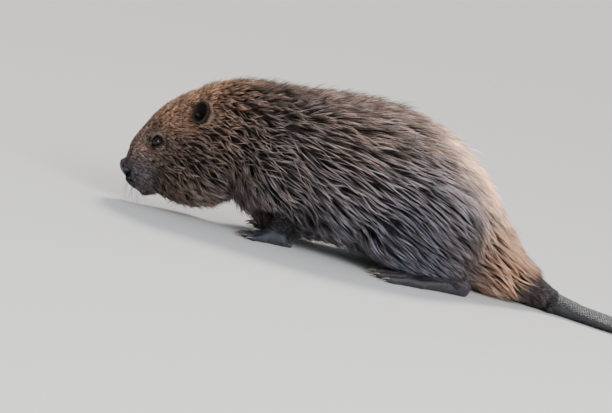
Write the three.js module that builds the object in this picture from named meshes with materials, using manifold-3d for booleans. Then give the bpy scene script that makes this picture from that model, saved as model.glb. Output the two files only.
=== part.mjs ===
// A beaver crouching on level ground with its head lowered, life size, as a still model.
//
// Millimetres, +Z up. The animal faces -X and its left side is on -Y. While it is being made, x is the
// distance behind the tip of the nose, y the distance right of the middle and z the height above the
// ground. The last step moves the origin to the ground under the middle of the whole animal.
//
// Head, neck, trunk and legs are one smooth form, written as a field that is negative inside, and then
// parted with thin cuts. Feet, digits, claws and the blade of the tail are lofted.
import * as THREE from "three";
import { mergeVertices } from "three/addons/utils/BufferGeometryUtils.js";
import Module from "manifold-3d";

const wasm = await Module();
wasm.setup();

// ---------------------------------------------------------------- driving dimensions

const GAP = 0.5; // between two parts that touch

// The coat's outline along the body. Each station has the middle of the section (x, y, z), and how far
// the coat reaches above it, below it and to either side, square to the line of the stations.
const BODY = [
  // station       x     y    z     up  down  side
  ["nose",        12,  -14,  54,    16,  18,   16],
  ["lips",        24,  -13,  62,    36,  36,   25],
  ["muzzle",      42,  -12,  76,    52,  60,   33],
  ["eyes",        64,  -10,  92,    67,  79,   41],
  ["brow",        92,   -8, 112,    82,  92,   50],
  ["ears",       124,   -6, 130,    93,  92,   58],
  ["nape",       164,   -3, 141,   106,  87,   70],
  ["shoulders",  216,    0, 142,   112, 100,   90],
  ["chest",      280,    0, 137,   125, 121,  112],
  ["ribs",       345,    0, 130,   139, 120,  130],
  ["loin",       410,    0, 122,   146, 113,  139],
  ["hips",       476,    0, 111,   138, 103,  140],
  ["rump",       536,    0,  95,   111,  88,  124],
  ["tail_head",  590,    0,  74,    77,  68,   94],
  ["tail_root",  640,   -2,  52,    47,  49,   64],
  ["tail_neck",  692,   -8,  34,    29,  33,   44],
  ["tail_fur",   742,  -19,  21,    18,  23,   35],
  ["tail_inner", 784,  -29,  16,    12,  16,   34],
];
const SQUARENESS = 2.25; // of the sections; 2 is an ellipse
const END_DEPTH = 14; // how far the form is rounded off past the first and last station

// Swellings of flesh under the coat, on both sides of the body: middle, radii, how far the front end of
// each is tipped down in degrees, how far it lies left with the turn of the head, and the leg it goes with.
const SWELLINGS = [
  { at: [96, 24, 80], radii: [46, 28, 38], tip: 40, lean: -12 },
  { at: [134, 28, 84], radii: [46, 32, 40], tip: 20, lean: -12 },
  { at: [30, 12, 50], radii: [20, 14, 18], tip: 50, lean: -12 },
  { at: [262, 62, 112], radii: [62, 42, 76], tip: -20, lean: 0, leg: "fore" },
  { at: [508, 92, 92], radii: [90, 48, 80], tip: 0, lean: 0, leg: "hind" },
  { at: [466, 100, 62], radii: [52, 36, 42], tip: 0, lean: 0, leg: "hind" },
];
const FLESH_BLEND = 34; // how softly a swelling runs into the body
const LEG_BLEND = 20;

// The two sides, and how far back each leg is set.
const SIDES = [
  { name: "left", s: -1, step: { fore: 0, hind: 0 } },
  { name: "right", s: 1, step: { fore: 16, hind: -12 } },
];

// The legs as tapered rods: the places of their joints, with the radius of flesh and coat there.
const LEGS = {
  fore: {
    root: { at: [268, 70, 108], r: 40 },
    bend: { at: [298, 76, 62], r: 26 },
    end: { at: [272, 69, 26], r: 17 },
  },
  hind: {
    root: { at: [520, 82, 110], r: 54 },
    bend: { at: [466, 108, 62], r: 36 },
    end: { at: [574, 106, 28], r: 19 },
  },
};

// Feet, from the heel forward. Palm: forward, half width, half depth. Digits: outward at the root, outward
// at the end, how far forward the end is, radius, length of the claw.
const FEET = {
  fore: {
    heel: [296, 66],
    splay: 4,
    palm: [
      [0, 6, 5],
      [8, 13, 11],
      [26, 17, 14],
      [42, 19, 11],
      [54, 19, 8],
    ],
    digits: [
      [-15, -24, 58, 4.4, 10],
      [-8, -13, 71, 5.0, 15],
      [0, 0, 75, 5.2, 16],
      [8, 13, 72, 5.0, 15],
      [15, 24, 63, 4.6, 13],
    ],
    digitRoot: 42,
    web: 0,
  },
  hind: {
    heel: [598, 103],
    splay: 6,
    palm: [
      [0, 8, 7],
      [12, 16, 14],
      [44, 22, 14],
      [74, 31, 11],
      [98, 37, 8],
    ],
    digits: [
      [-28, -42, 134, 5.8, 12],
      [-15, -22, 149, 6.4, 13],
      [-1, 0, 157, 6.8, 14],
      [14, 24, 154, 6.8, 14],
      [28, 46, 140, 6.4, 13],
    ],
    digitRoot: 80,
    web: 3,
  },
};

const EYE = { x: 45, z: 112, radius: 8.5, sunk: 4.2 };
const EAR = { x: 105, z: 180, radius: 18.5, height: 20, flat: 0.92, sunk: 9, opens: [-0.44, 0.84, 0.28] };
const NOSE = { at: [5, -14, 53], radii: [14, 15, 14] };
const TAIL = {
  start: 750, // where the fur ends and the scales begin
  length: 238,
  halfWidth: 56,
  rootHalfWidth: 33,
  rootHalfDepth: 16,
  tipHalfDepth: 4.5,
  swing: -0.24, // run to the left for each millimetre of length
};

// Planes that part the animal: a point, and the way to the part behind or below.
const CUTS = {
  muzzleHead: { at: [42, 0, 76], to: [0.83, 0, 0.56] },
  headNeck: { at: [142, 0, 138], to: [0.95, 0, 0.3] },
  neckTrunk: { at: [210, 0, 146], to: [1, 0, 0.12] },
  trunkTail: { at: [640, 0, 58], to: [0.87, 0, -0.49] },
  mouth: { at: [50, 0, 16], to: [0.62, 0, -0.785] },
  jawBack: { at: [124, 0, 30], to: [-0.95, 0, -0.3] },
};
// Round regions that part the upper legs from the trunk.
const LIMB_ROOTS = {
  fore: { at: [272, 98, 100], radii: [58, 44, 70] },
  hind: { at: [508, 122, 96], radii: [92, 66, 82] },
};
const LOWER_LEG = { bendShare: 0.8, endMargin: 7 }; // width of a lower leg's region, next to its own rod

// Size of the facets.
const CELLS = { muzzle: 11, jaw: 14, head: 19, neck: 22, trunk: 30, tail: 21, fore: 20, hind: 24 };
const EYE_SIDES = 10;
const PALM_SIDES = 8;
const DIGIT_SIDES = 5;
const CLAW_SIDES = 4;
const REGION_SIDES = 9;

const LOOKS = {
  head_fur: { color: 0x80604a, roughness: 0.85, metalness: 0 },
  body_fur: { color: 0x66503f, roughness: 0.8, metalness: 0 },
  leg_fur: { color: 0x4a3d38, roughness: 0.8, metalness: 0 },
  bare_skin: { color: 0x35302f, roughness: 0.55, metalness: 0 },
  nose_skin: { color: 0x2b292b, roughness: 0.45, metalness: 0 },
  claw_horn: { color: 0x5d5044, roughness: 0.4, metalness: 0 },
  tail_scale: { color: 0x47474b, roughness: 0.5, metalness: 0 },
  eye: { color: 0x140f0c, roughness: 0.08, metalness: 0 },
};

// ---------------------------------------------------------------- fields, negative inside

const smoothMin = (a, b, k) => {
  const h = Math.max(k - Math.abs(a - b), 0) / k;
  return Math.min(a, b) - (h * h * k) / 4;
};

const toField = (radial, ratio) => (ratio < 1e-6 ? -radial : radial * (1 - 1 / ratio));

const LINE_STEPS = 6; // straight pieces of the middle line between two stations

// A body swept along stations, with its own depth above and below the line and its own width.
function sweep(stations) {
  const line = new THREE.CatmullRomCurve3(stations.map(([, x, y, z]) => new THREE.Vector3(x, y, z)));
  const girth = new THREE.CatmullRomCurve3(
    stations.map(([, , , , up, down, side]) => new THREE.Vector3(up, down, side)),
  );
  const count = (stations.length - 1) * LINE_STEPS;
  const steps = Array.from({ length: count + 1 }, (_, i) => ({
    p: line.getPoint(i / count),
    g: girth.getPoint(i / count),
  }));
  return (x, y, z) => {
    let best = Infinity;
    let at = 0;
    let share = 0;
    for (let i = 0; i < count; i++) {
      const a = steps[i].p;
      const b = steps[i + 1].p;
      const dx = b.x - a.x;
      const dz = b.z - a.z;
      const t = Math.min(1, Math.max(0, ((x - a.x) * dx + (z - a.z) * dz) / (dx * dx + dz * dz)));
      const d = (x - a.x - t * dx) ** 2 + (z - a.z - t * dz) ** 2;
      if (d < best) [best, at, share] = [d, i, t];
    }
    const a = steps[at];
    const b = steps[at + 1];
    const c = a.p.clone().lerp(b.p, share);
    const g = a.g.clone().lerp(b.g, share);
    const run = new THREE.Vector2(b.p.x - a.p.x, b.p.z - a.p.z).normalize();
    const height = (z - c.z) * run.x - (x - c.x) * run.y;
    const beyondEnd = (at === 0 && share === 0) || (at === count - 1 && share === 1);
    const along = beyondEnd ? (x - c.x) * run.x + (z - c.z) * run.y : 0;
    const over = beyondEnd ? height : Math.sign(height) * Math.hypot(x - c.x, z - c.z);
    const aside = y - c.y;
    const sum =
      Math.abs(over / (over > 0 ? g.x : g.y)) ** SQUARENESS +
      Math.abs(aside / g.z) ** SQUARENESS +
      Math.abs(along / END_DEPTH) ** SQUARENESS;
    return toField(Math.hypot(along, over, aside), sum ** (1 / SQUARENESS));
  };
}

function ellipsoid([x0, y0, z0], [rx, ry, rz], tip) {
  const c = Math.cos(THREE.MathUtils.degToRad(tip));
  const s = Math.sin(THREE.MathUtils.degToRad(tip));
  return (x, y, z) => {
    const along = ((x - x0) * c + (z - z0) * s) / rx;
    const over = ((z - z0) * c - (x - x0) * s) / rz;
    const aside = (y - y0) / ry;
    return toField(Math.hypot(x - x0, y - y0, z - z0), Math.hypot(along, over, aside));
  };
}

function bone(from, to, side, step) {
  const place = ({ at: [x, y, z] }) => new THREE.Vector3(x + step, y * side, z);
  const a = place(from);
  const run = place(to).sub(a);
  return (x, y, z) => {
    const p = new THREE.Vector3(x, y, z).sub(a);
    const t = Math.min(1, Math.max(0, p.dot(run) / run.lengthSq()));
    return p.distanceTo(run.clone().multiplyScalar(t)) - from.r - (to.r - from.r) * t;
  };
}

const trunkForm = sweep(BODY);
const swellings = SIDES.flatMap(({ s, step }) =>
  SWELLINGS.map(({ at: [x, y, z], radii, tip, lean, leg }) =>
    ellipsoid([x + (leg ? step[leg] : 0), y * s + lean, z], radii, tip),
  ),
);
const bones = SIDES.flatMap(({ s, step }) =>
  Object.entries(LEGS).flatMap(([leg, { root, bend, end }]) => [
    bone(root, bend, s, step[leg]),
    bone(bend, end, s, step[leg]),
  ]),
);

function coat(x, y, z) {
  let d = trunkForm(x, y, z);
  for (const swelling of swellings) d = smoothMin(d, swelling(x, y, z), FLESH_BLEND);
  for (const rod of bones) d = smoothMin(d, rod(x, y, z), LEG_BLEND);
  return d;
}

// ---------------------------------------------------------------- meshes

// Surface nets: one vertex in each cell that the surface crosses, moved onto the surface, and one quad
// across each edge of the grid that the surface crosses.
function skin(field, lo, hi, cell) {
  const n = lo.map((v, k) => Math.ceil((hi[k] - v) / cell) + 1);
  const id = (i, j, k) => (k * n[1] + j) * n[0] + i;
  const at = (i, j, k) => [lo[0] + i * cell, lo[1] + j * cell, lo[2] + k * cell];
  const value = new Float32Array(n[0] * n[1] * n[2]);
  for (let k = 0; k < n[2]; k++)
    for (let j = 0; j < n[1]; j++)
      for (let i = 0; i < n[0]; i++) {
        const rim = i === 0 || j === 0 || k === 0 || i === n[0] - 1 || j === n[1] - 1 || k === n[2] - 1;
        value[id(i, j, k)] = rim ? Math.max(1, field(...at(i, j, k))) : field(...at(i, j, k));
      }
  const corners = [0, 1, 2, 3, 4, 5, 6, 7].map((c) => [c & 1, (c >> 1) & 1, c >> 2]);
  const edges = corners.flatMap((a, i) =>
    corners.slice(i + 1).flatMap((b) => (a.filter((v, k) => v !== b[k]).length === 1 ? [[a, b]] : [])),
  );
  const vertex = new Map();
  const positions = [];
  for (let k = 0; k < n[2] - 1; k++)
    for (let j = 0; j < n[1] - 1; j++)
      for (let i = 0; i < n[0] - 1; i++) {
        const sum = [0, 0, 0];
        let hits = 0;
        for (const [a, b] of edges) {
          const va = value[id(i + a[0], j + a[1], k + a[2])];
          const vb = value[id(i + b[0], j + b[1], k + b[2])];
          if (va < 0 === vb < 0) continue;
          const t = va / (va - vb);
          [i, j, k].forEach((c, m) => (sum[m] += c + a[m] + t * (b[m] - a[m])));
          hits++;
        }
        if (!hits) continue;
        const p = sum.map((v, m) => lo[m] + (v / hits) * cell);
        vertex.set(id(i, j, k), positions.length / 3);
        positions.push(...ontoSurface(field, p, lo, hi, cell));
      }
  const triangles = [];
  const axes = [
    [1, 0, 0],
    [0, 1, 0],
    [0, 0, 1],
  ];
  for (let k = 0; k < n[2] - 1; k++)
    for (let j = 0; j < n[1] - 1; j++)
      for (let i = 0; i < n[0] - 1; i++)
        axes.forEach((u, m) => {
          const inside = value[id(i, j, k)] < 0;
          if (inside === value[id(i + u[0], j + u[1], k + u[2])] < 0) return;
          const v = axes[(m + 1) % 3];
          const w = axes[(m + 2) % 3];
          const cell = (a, b) => [i, j, k].map((c, n) => c - a * v[n] - b * w[n]);
          const around = [cell(0, 0), cell(1, 0), cell(1, 1), cell(0, 1)].map((c) => vertex.get(id(...c)));
          const [a, b, c, d] = inside ? around : around.reverse();
          triangles.push(a, b, c, a, c, d);
        });
  return solid(positions, triangles);
}

// Newton steps along the field's slope, kept within the vertex's own cell.
function ontoSurface(field, p, lo, hi, cell) {
  const rim = p.some((v, m) => v < lo[m] + cell || v > hi[m] - cell);
  if (rim) return p;
  const h = 0.5;
  let q = p;
  for (let step = 0; step < 3; step++) {
    const f = field(...q);
    const slope = [0, 1, 2].map((m) => {
      const r = [...q];
      r[m] += h;
      return (field(...r) - f) / h;
    });
    const size = slope.reduce((s, v) => s + v * v, 1e-9);
    q = q.map((v, m) => v - THREE.MathUtils.clamp((f * slope[m]) / size, -cell / 4, cell / 4));
  }
  return q.map((v, m) => THREE.MathUtils.clamp(v, p[m] - cell / 2, p[m] + cell / 2));
}

function solid(positions, triangles) {
  return new wasm.Manifold(
    new wasm.Mesh({
      numProp: 3,
      vertProperties: new Float32Array(positions),
      triVerts: new Uint32Array(triangles),
    }),
  );
}

function fromGeometry(geometry, matrix) {
  const bare = geometry.clone().applyMatrix4(matrix ?? new THREE.Matrix4());
  bare.deleteAttribute("normal");
  bare.deleteAttribute("uv");
  const merged = mergeVertices(bare, 1e-4);
  return solid(merged.attributes.position.array, merged.index.array);
}

function flipped(geometry) {
  const bare = geometry.index ? geometry.toNonIndexed() : geometry.clone();
  const at = bare.attributes.position;
  for (let i = 0; i < at.count; i += 3) {
    const b = [at.getX(i + 1), at.getY(i + 1), at.getZ(i + 1)];
    at.setXYZ(i + 1, at.getX(i + 2), at.getY(i + 2), at.getZ(i + 2));
    at.setXYZ(i + 2, ...b);
  }
  return bare;
}

// A solid with its faces out, whichever way the geometry or its place turned them.
function facingOut(geometry, matrix) {
  const made = fromGeometry(geometry, matrix);
  return made.volume() > 0 ? made : fromGeometry(flipped(geometry), matrix);
}

function toGeometry(manifold) {
  const mesh = manifold.getMesh();
  const geometry = new THREE.BufferGeometry();
  geometry.setAttribute("position", new THREE.BufferAttribute(mesh.vertProperties, 3));
  geometry.setIndex(new THREE.BufferAttribute(mesh.triVerts, 1));
  geometry.computeVertexNormals();
  return geometry;
}

// A closed tube of flattened rings: each ring is its middle, half its width and half its depth. The
// width lies level and square to the run of the tube.
function loft(rings, sides) {
  const points = rings.map(({ at }) => new THREE.Vector3(...at));
  const up = new THREE.Vector3(0, 0, 1);
  const positions = [];
  rings.forEach(({ half: [w, d] }, i) => {
    const before = points[Math.max(0, i - 1)];
    const after = points[Math.min(points.length - 1, i + 1)];
    const run = after.clone().sub(before).normalize();
    const across = new THREE.Vector3().crossVectors(run, up).normalize();
    const over = new THREE.Vector3().crossVectors(across, run);
    for (let k = 0; k < sides; k++) {
      const a = (2 * Math.PI * (k + 0.5)) / sides;
      const p = points[i]
        .clone()
        .addScaledVector(across, w * Math.cos(a))
        .addScaledVector(over, d * Math.sin(a));
      positions.push(p.x, p.y, p.z);
    }
  });
  const triangles = [];
  for (let i = 0; i < rings.length - 1; i++)
    for (let k = 0; k < sides; k++) {
      const a = i * sides + k;
      const b = i * sides + ((k + 1) % sides);
      triangles.push(a, b, b + sides, a, b + sides, a + sides);
    }
  const last = (rings.length - 1) * sides;
  for (let k = 1; k < sides - 1; k++) {
    triangles.push(0, k + 1, k);
    triangles.push(last, last + k, last + k + 1);
  }
  const made = solid(positions, triangles);
  return made.volume() < 0 ? solid(positions, triangles.reverse()) : made;
}

// ---------------------------------------------------------------- cutting tools

const FAR = 2400;

// Everything on the side of a plane that its normal points to, starting a little past the plane.
function beyond({ at, to }, past = 0) {
  const normal = new THREE.Vector3(...to).normalize();
  const turn = new THREE.Quaternion().setFromUnitVectors(new THREE.Vector3(0, 0, 1), normal);
  const place = new THREE.Vector3(...at).addScaledVector(normal, past);
  const move = new THREE.Matrix4().compose(place, turn, new THREE.Vector3(1, 1, 1));
  return fromGeometry(new THREE.BoxGeometry(FAR, FAR, FAR).translate(0, 0, FAR / 2), move);
}

const behind = (cut) => beyond(cut, GAP / 2);
const ahead = ({ at, to }) => beyond({ at, to: to.map((v) => -v) }, GAP / 2);
const ground = beyond({ at: [0, 0, 0], to: [0, 0, 1] });

function ball([x, y, z], [rx, ry, rz], sides) {
  const move = new THREE.Matrix4().compose(
    new THREE.Vector3(x, y, z),
    new THREE.Quaternion(),
    new THREE.Vector3(rx, ry, rz),
  );
  return fromGeometry(new THREE.SphereGeometry(1, sides, Math.round(sides * 0.6)), move);
}

// The round region of an upper leg.
function limbRoot(leg, { s, step }, extra) {
  const { at: [x, y, z], radii } = LIMB_ROOTS[leg];
  return ball([x + step[leg], y * s, z], radii.map((r) => r + extra), REGION_SIDES);
}

// The region of a lower leg: a tapered rod with round ends, made as a lathe and turned along the bone.
function limbEnd(leg, { s, step }, extra) {
  const { bend, end } = LEGS[leg];
  const place = ({ at: [x, y, z] }) => new THREE.Vector3(x + step[leg], y * s, z);
  const from = place(bend);
  const run = place(end).sub(from);
  const wide = bend.r * LOWER_LEG.bendShare + extra;
  const narrow = end.r + LOWER_LEG.endMargin + extra;
  const length = run.length();
  const arc = [0, 0.25, 0.5].map((turn) => turn * Math.PI);
  const profile = [
    ...arc.map((a) => new THREE.Vector2(wide * Math.sin(a), -wide * Math.cos(a))),
    ...arc.toReversed().map((a) => new THREE.Vector2(narrow * Math.sin(a), length + narrow * Math.cos(a))),
  ];
  const rod = new THREE.LatheGeometry(profile, REGION_SIDES);
  const turn = new THREE.Quaternion().setFromUnitVectors(new THREE.Vector3(0, 1, 0), run.normalize());
  const move = new THREE.Matrix4().compose(from, turn, new THREE.Vector3(1, 1, 1));
  return facingOut(rod, move);
}

const largest = (form) => form.decompose().reduce((best, m) => (m.volume() > best.volume() ? m : best));

// ---------------------------------------------------------------- feet, digits and claws

// A foot's own place: forward from the heel, outward from its middle line, and up.
function footPlace(leg, { s, step }) {
  const { heel: [x, y], splay } = FEET[leg];
  const turn = THREE.MathUtils.degToRad(splay);
  return (forward, outward, up) => [
    x + step[leg] - forward * Math.cos(turn) + outward * Math.sin(turn),
    (y + forward * Math.sin(turn) + outward * Math.cos(turn)) * s,
    up,
  ];
}

// One digit: share of its length, size and height of each ring, in radii of the digit.
const KNUCKLES = [
  [0, 1.0, 1.2],
  [0.4, 1.05, 1.4],
  [0.84, 1.0, 0.95],
  [1, 0.72, 0.85],
];

function digit(place, { digitRoot }, [rootOut, endOut, end, radius]) {
  const rings = KNUCKLES.map(([share, size, rise]) => ({
    at: place(
      THREE.MathUtils.lerp(digitRoot, end, share),
      THREE.MathUtils.lerp(rootOut, endOut, share),
      radius * rise,
    ),
    half: [radius * size, radius * size],
  }));
  return loft(rings, DIGIT_SIDES);
}

// A claw, in the same terms, with shares of its own length.
const CLAW_RINGS = [
  [0, 0.58, 0.95],
  [0.45, 0.5, 1.0],
  [1, 0.1, 0.3],
];

function claw(place, { digitRoot }, [rootOut, endOut, end, radius, length]) {
  const lean = (endOut - rootOut) / (end - digitRoot);
  const rings = CLAW_RINGS.map(([share, size, rise]) => ({
    at: place(end + GAP + length * share, endOut + length * share * lean, radius * rise),
    half: [radius * size, radius * size * 0.8],
  }));
  return loft(rings, CLAW_SIDES);
}

// The skin between the toes: a thin plate with a scallop between each two.
const ROOM_MARGIN = 3; // round the digits
const ROOM_HEIGHT = 17; // over the ground
const WEB_BACK = 12; // behind the roots of the toes
const WEB_SHORT = 8; // short of the toes' ends
const WEB_SCALLOP = 24;
const WEB_LIFT = 1.5;

// Moves a geometry made in a foot's own terms to the foot's place.
function placed(geometry, place) {
  const at = geometry.attributes.position;
  for (let i = 0; i < at.count; i++) at.setXYZ(i, ...place(at.getX(i), at.getY(i), at.getZ(i)));
  return geometry;
}

function webbing(place, { digits, digitRoot, web }) {
  const outline = new THREE.Shape();
  outline.moveTo(digitRoot - WEB_BACK, digits[0][0]);
  digits.forEach(([, endOut, end], i) => {
    const tip = end - WEB_SHORT;
    if (i === 0) outline.lineTo(tip, endOut);
    else {
      const [, lastOut, lastEnd] = digits[i - 1];
      const hollow = (tip + lastEnd) / 2 - WEB_SCALLOP;
      outline.quadraticCurveTo(hollow, (endOut + lastOut) / 2, tip, endOut);
    }
  });
  outline.lineTo(digitRoot - WEB_BACK, digits.at(-1)[0]);
  const plate = new THREE.ExtrudeGeometry(outline, { depth: web, bevelEnabled: false, curveSegments: 1 });
  return facingOut(placed(plate.translate(0, 0, WEB_LIFT), place));
}

const PALM_RISE = 0.85; // height of the palm's middle, in half depths

function palm(place, kind, extra) {
  const rings = kind.palm.map(([forward, w, d]) => ({
    at: place(forward, 0, d * PALM_RISE),
    half: [w + extra, d + extra],
  }));
  return loft(rings, PALM_SIDES);
}

// A whole foot without its claws.
function paw(leg, side) {
  const kind = FEET[leg];
  const place = footPlace(leg, side);
  const toes = kind.digits.map((d) => digit(place, kind, d));
  const webs = kind.web ? [webbing(place, kind)] : [];
  return [...toes, ...webs].reduce((sum, piece) => sum.add(piece), palm(place, kind, 0));
}

// The room that a foot needs under the fur: its palm, and a plain block over its digits.
function pawRoom(leg, side) {
  const kind = FEET[leg];
  const place = footPlace(leg, side);
  const [inner, outer] = [kind.digits[0], kind.digits.at(-1)];
  const [inWide, outWide] = [-inner[3] - ROOM_MARGIN, outer[3] + ROOM_MARGIN];
  const outline = new THREE.Shape();
  outline.moveTo(kind.digitRoot - WEB_BACK, inner[0] + inWide);
  outline.lineTo(inner[2], inner[1] + inWide);
  outline.lineTo(kind.digits[2][2] + kind.digits[2][4], 0);
  outline.lineTo(outer[2], outer[1] + outWide);
  outline.lineTo(kind.digitRoot - WEB_BACK, outer[0] + outWide);
  const block = new THREE.ExtrudeGeometry(outline, { depth: 2 * ROOM_HEIGHT, bevelEnabled: false });
  block.translate(0, 0, -ROOM_HEIGHT);
  return palm(place, kind, GAP).add(facingOut(placed(block, place)));
}

// ---------------------------------------------------------------- eyes, ears and tail

// The middle of the head at a distance behind the nose.
function headMiddle(x) {
  const next = BODY.findIndex(([, stationX]) => stationX > x);
  const [, x0, y0] = BODY[next - 1];
  const [, x1, y1] = BODY[next];
  return THREE.MathUtils.mapLinear(x, x0, x1, y0, y1);
}

// A place on the side of the head, sunk into it by a depth.
function onHead({ x, z, sunk }, s) {
  let inner = headMiddle(x);
  let outer = inner + s * BODY_REACH.y;
  for (let halving = 0; halving < 30; halving++) {
    const middle = (inner + outer) / 2;
    if (coat(x, middle, z) < 0) inner = middle;
    else outer = middle;
  }
  return [x, inner - s * sunk, z];
}

const eyeball = ({ s }, extra = 0) => ball(onHead(EYE, s), Array(3).fill(EYE.radius + extra), EYE_SIDES);

// A cup that opens outward and a little forward, with its back edge higher than its front: how far across
// and how high its profile is, in radii and heights of the ear, from the root round the rim to the bottom.
const EAR_PROFILE = [
  [0, 0],
  [0.6, 0.12],
  [0.95, 0.5],
  [1, 0.88],
  [0.93, 1],
  [0.8, 0.9],
  [0.74, 0.6],
  [0.45, 0.38],
  [0, 0.32],
];
const EAR_BACK_RISE = 0.4;
const EAR_SIDES = 10;

function ear({ s }, extra = 0) {
  const [r, h] = [EAR.radius + extra, EAR.height + extra];
  const profile = extra ? EAR_PROFILE.slice(0, 5).concat([[0, 1]]) : EAR_PROFILE;
  const cup = new THREE.LatheGeometry(
    profile.map(([across, up]) => new THREE.Vector2(across * r, up * h - extra)),
    EAR_SIDES,
  );
  const at = cup.attributes.position;
  for (let i = 0; i < at.count; i++) {
    const back = at.getX(i);
    at.setXYZ(i, back * EAR.flat, at.getY(i) * (1 + (EAR_BACK_RISE * back) / r), at.getZ(i));
  }
  const [openX, openY, openZ] = EAR.opens;
  const open = new THREE.Vector3(openX, openY * s, openZ).normalize();
  const back = new THREE.Vector3(1, 0, 0).addScaledVector(open, -open.x).normalize();
  const move = new THREE.Matrix4().makeBasis(back, open, new THREE.Vector3().crossVectors(back, open));
  return facingOut(cup, move.setPosition(...onHead(EAR, s)));
}

// The middle of the tail, in one line with the last station.
function tailMiddle(x) {
  const [, lastX, lastY] = BODY.at(-1);
  return lastY + (x - lastX) * TAIL.swing;
}

// The scaly blade: its half width and half depth along its length, widest at the middle.
const BLADE_SHARES = [0, 0.12, 0.27, 0.42, 0.57, 0.71, 0.83, 0.92, 0.97, 0.995];
const BLADE_WIDEST = 0.5;
const BLADE_ROUNDNESS = 2.6;
const BLADE_SIDES = 14;

function tailBlade() {
  const rings = BLADE_SHARES.map((share) => {
    const grow = THREE.MathUtils.smoothstep(share, -0.12, BLADE_WIDEST);
    const close = Math.max(0, (share - BLADE_WIDEST) / (1 - BLADE_WIDEST));
    const full = THREE.MathUtils.lerp(TAIL.rootHalfWidth, TAIL.halfWidth, grow);
    const w = full * Math.sqrt(1 - close ** BLADE_ROUNDNESS);
    const d = Math.min(w, THREE.MathUtils.lerp(TAIL.rootHalfDepth, TAIL.tipHalfDepth, share ** 0.7));
    const x = TAIL.start + TAIL.length * share;
    return { at: [x, tailMiddle(x), d * PALM_RISE], half: [w, d] };
  });
  return loft(rings, BLADE_SIDES);
}

// ---------------------------------------------------------------- the whole animal

const BODY_REACH = { y: 190, top: 300 };

// The coat's form between two distances behind the nose.
function formBetween(x0, x1, cell, top = BODY_REACH.top) {
  return skin(coat, [x0, -BODY_REACH.y, -2.5 * cell], [x1, BODY_REACH.y, top], cell).intersect(ground);
}

const animal = new THREE.Group();

function add(name, form, look) {
  const mesh = new THREE.Mesh(toGeometry(form), new THREE.MeshStandardMaterial(LOOKS[look]));
  mesh.name = name;
  animal.add(mesh);
}

function addHead() {
  const { muzzleHead, headNeck, mouth, jawBack } = CUTS;
  const front = formBetween(-20, 110, CELLS.muzzle, 160);
  const rear = formBetween(-20, 210, CELLS.head).intersect(ahead(headNeck)).intersect(behind(muzzleHead));
  const jawRoom = beyond(mouth, -GAP / 2).intersect(beyond(jawBack, -GAP / 2));
  const noseRoom = ball(NOSE.at, NOSE.radii.map((r) => r + GAP), REGION_SIDES);
  const rooms = SIDES.flatMap((side) => [eyeball(side, GAP), ear(side, GAP)]);
  const jaw = formBetween(0, 160, CELLS.jaw, 110).intersect(behind(mouth)).intersect(behind(jawBack));
  add("head", largest(rooms.reduce((form, room) => form.subtract(room), rear.subtract(jawRoom))), "head_fur");
  add("muzzle", largest(front.intersect(ahead(muzzleHead)).subtract(jawRoom).subtract(noseRoom)), "head_fur");
  add("lower_jaw", largest(jaw), "head_fur");
  add("nose", largest(front.intersect(ball(NOSE.at, NOSE.radii, REGION_SIDES))), "nose_skin");
  for (const side of SIDES) {
    add(`eye_${side.name}`, eyeball(side), "eye");
    add(`ear_${side.name}`, ear(side), "head_fur");
  }
}

function addNeck() {
  const form = formBetween(80, 260, CELLS.neck);
  add("neck", largest(form.intersect(behind(CUTS.headNeck)).intersect(ahead(CUTS.neckTrunk))), "body_fur");
}

function addTail() {
  const scales = { at: [TAIL.start, tailMiddle(TAIL.start), 0], to: [1, TAIL.swing, 0] };
  const form = formBetween(580, TAIL.start + 30, CELLS.tail, 180);
  add("tail_root", largest(form.intersect(behind(CUTS.trunkTail)).intersect(ahead(scales))), "body_fur");
  add("tail_blade", tailBlade().intersect(behind(scales)).intersect(ground), "tail_scale");
}

// Upper leg, lower leg, foot and claws of one leg. The names are of the three pieces.
function addLeg(leg, side, form, [upper, lower, foot]) {
  const place = footPlace(leg, side);
  const room = pawRoom(leg, side);
  const thick = form.intersect(limbRoot(leg, side, 0)).subtract(limbEnd(leg, side, GAP)).subtract(room);
  const thin = form.intersect(limbEnd(leg, side, 0)).subtract(room);
  add(`${upper}_${side.name}`, largest(thick), "body_fur");
  add(`${lower}_${side.name}`, largest(thin), "leg_fur");
  add(`${foot}_${side.name}`, paw(leg, side).intersect(ground), "bare_skin");
  FEET[leg].digits.forEach((d, i) => {
    add(`${foot}_claw_${side.name}_${i + 1}`, claw(place, FEET[leg], d), "claw_horn");
  });
}

const LEG_NAMES = { fore: ["upper_arm", "forearm", "hand"], hind: ["thigh", "shank", "foot"] };
const LEG_SPANS = { fore: [180, 360], hind: [390, 650] };

function addTrunkAndLegs() {
  const { neckTrunk, trunkTail } = CUTS;
  const part = (form) => form.intersect(behind(neckTrunk)).intersect(ahead(trunkTail));
  let trunk = part(formBetween(130, 730, CELLS.trunk));
  for (const leg of ["fore", "hind"]) {
    const form = part(formBetween(...LEG_SPANS[leg], CELLS[leg], 210));
    for (const side of SIDES) {
      addLeg(leg, side, form, LEG_NAMES[leg]);
      const rooms = [limbRoot(leg, side, GAP), limbEnd(leg, side, GAP), pawRoom(leg, side)];
      trunk = rooms.reduce((rest, room) => rest.subtract(room), trunk);
    }
  }
  add("trunk", largest(trunk), "body_fur");
}

addHead();
addNeck();
addTrunkAndLegs();
addTail();

const middle = new THREE.Box3().setFromObject(animal).getCenter(new THREE.Vector3());
animal.position.set(-middle.x, -middle.y, 0);

const beaver = new THREE.Group();
beaver.add(animal);

export default beaver;
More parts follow.
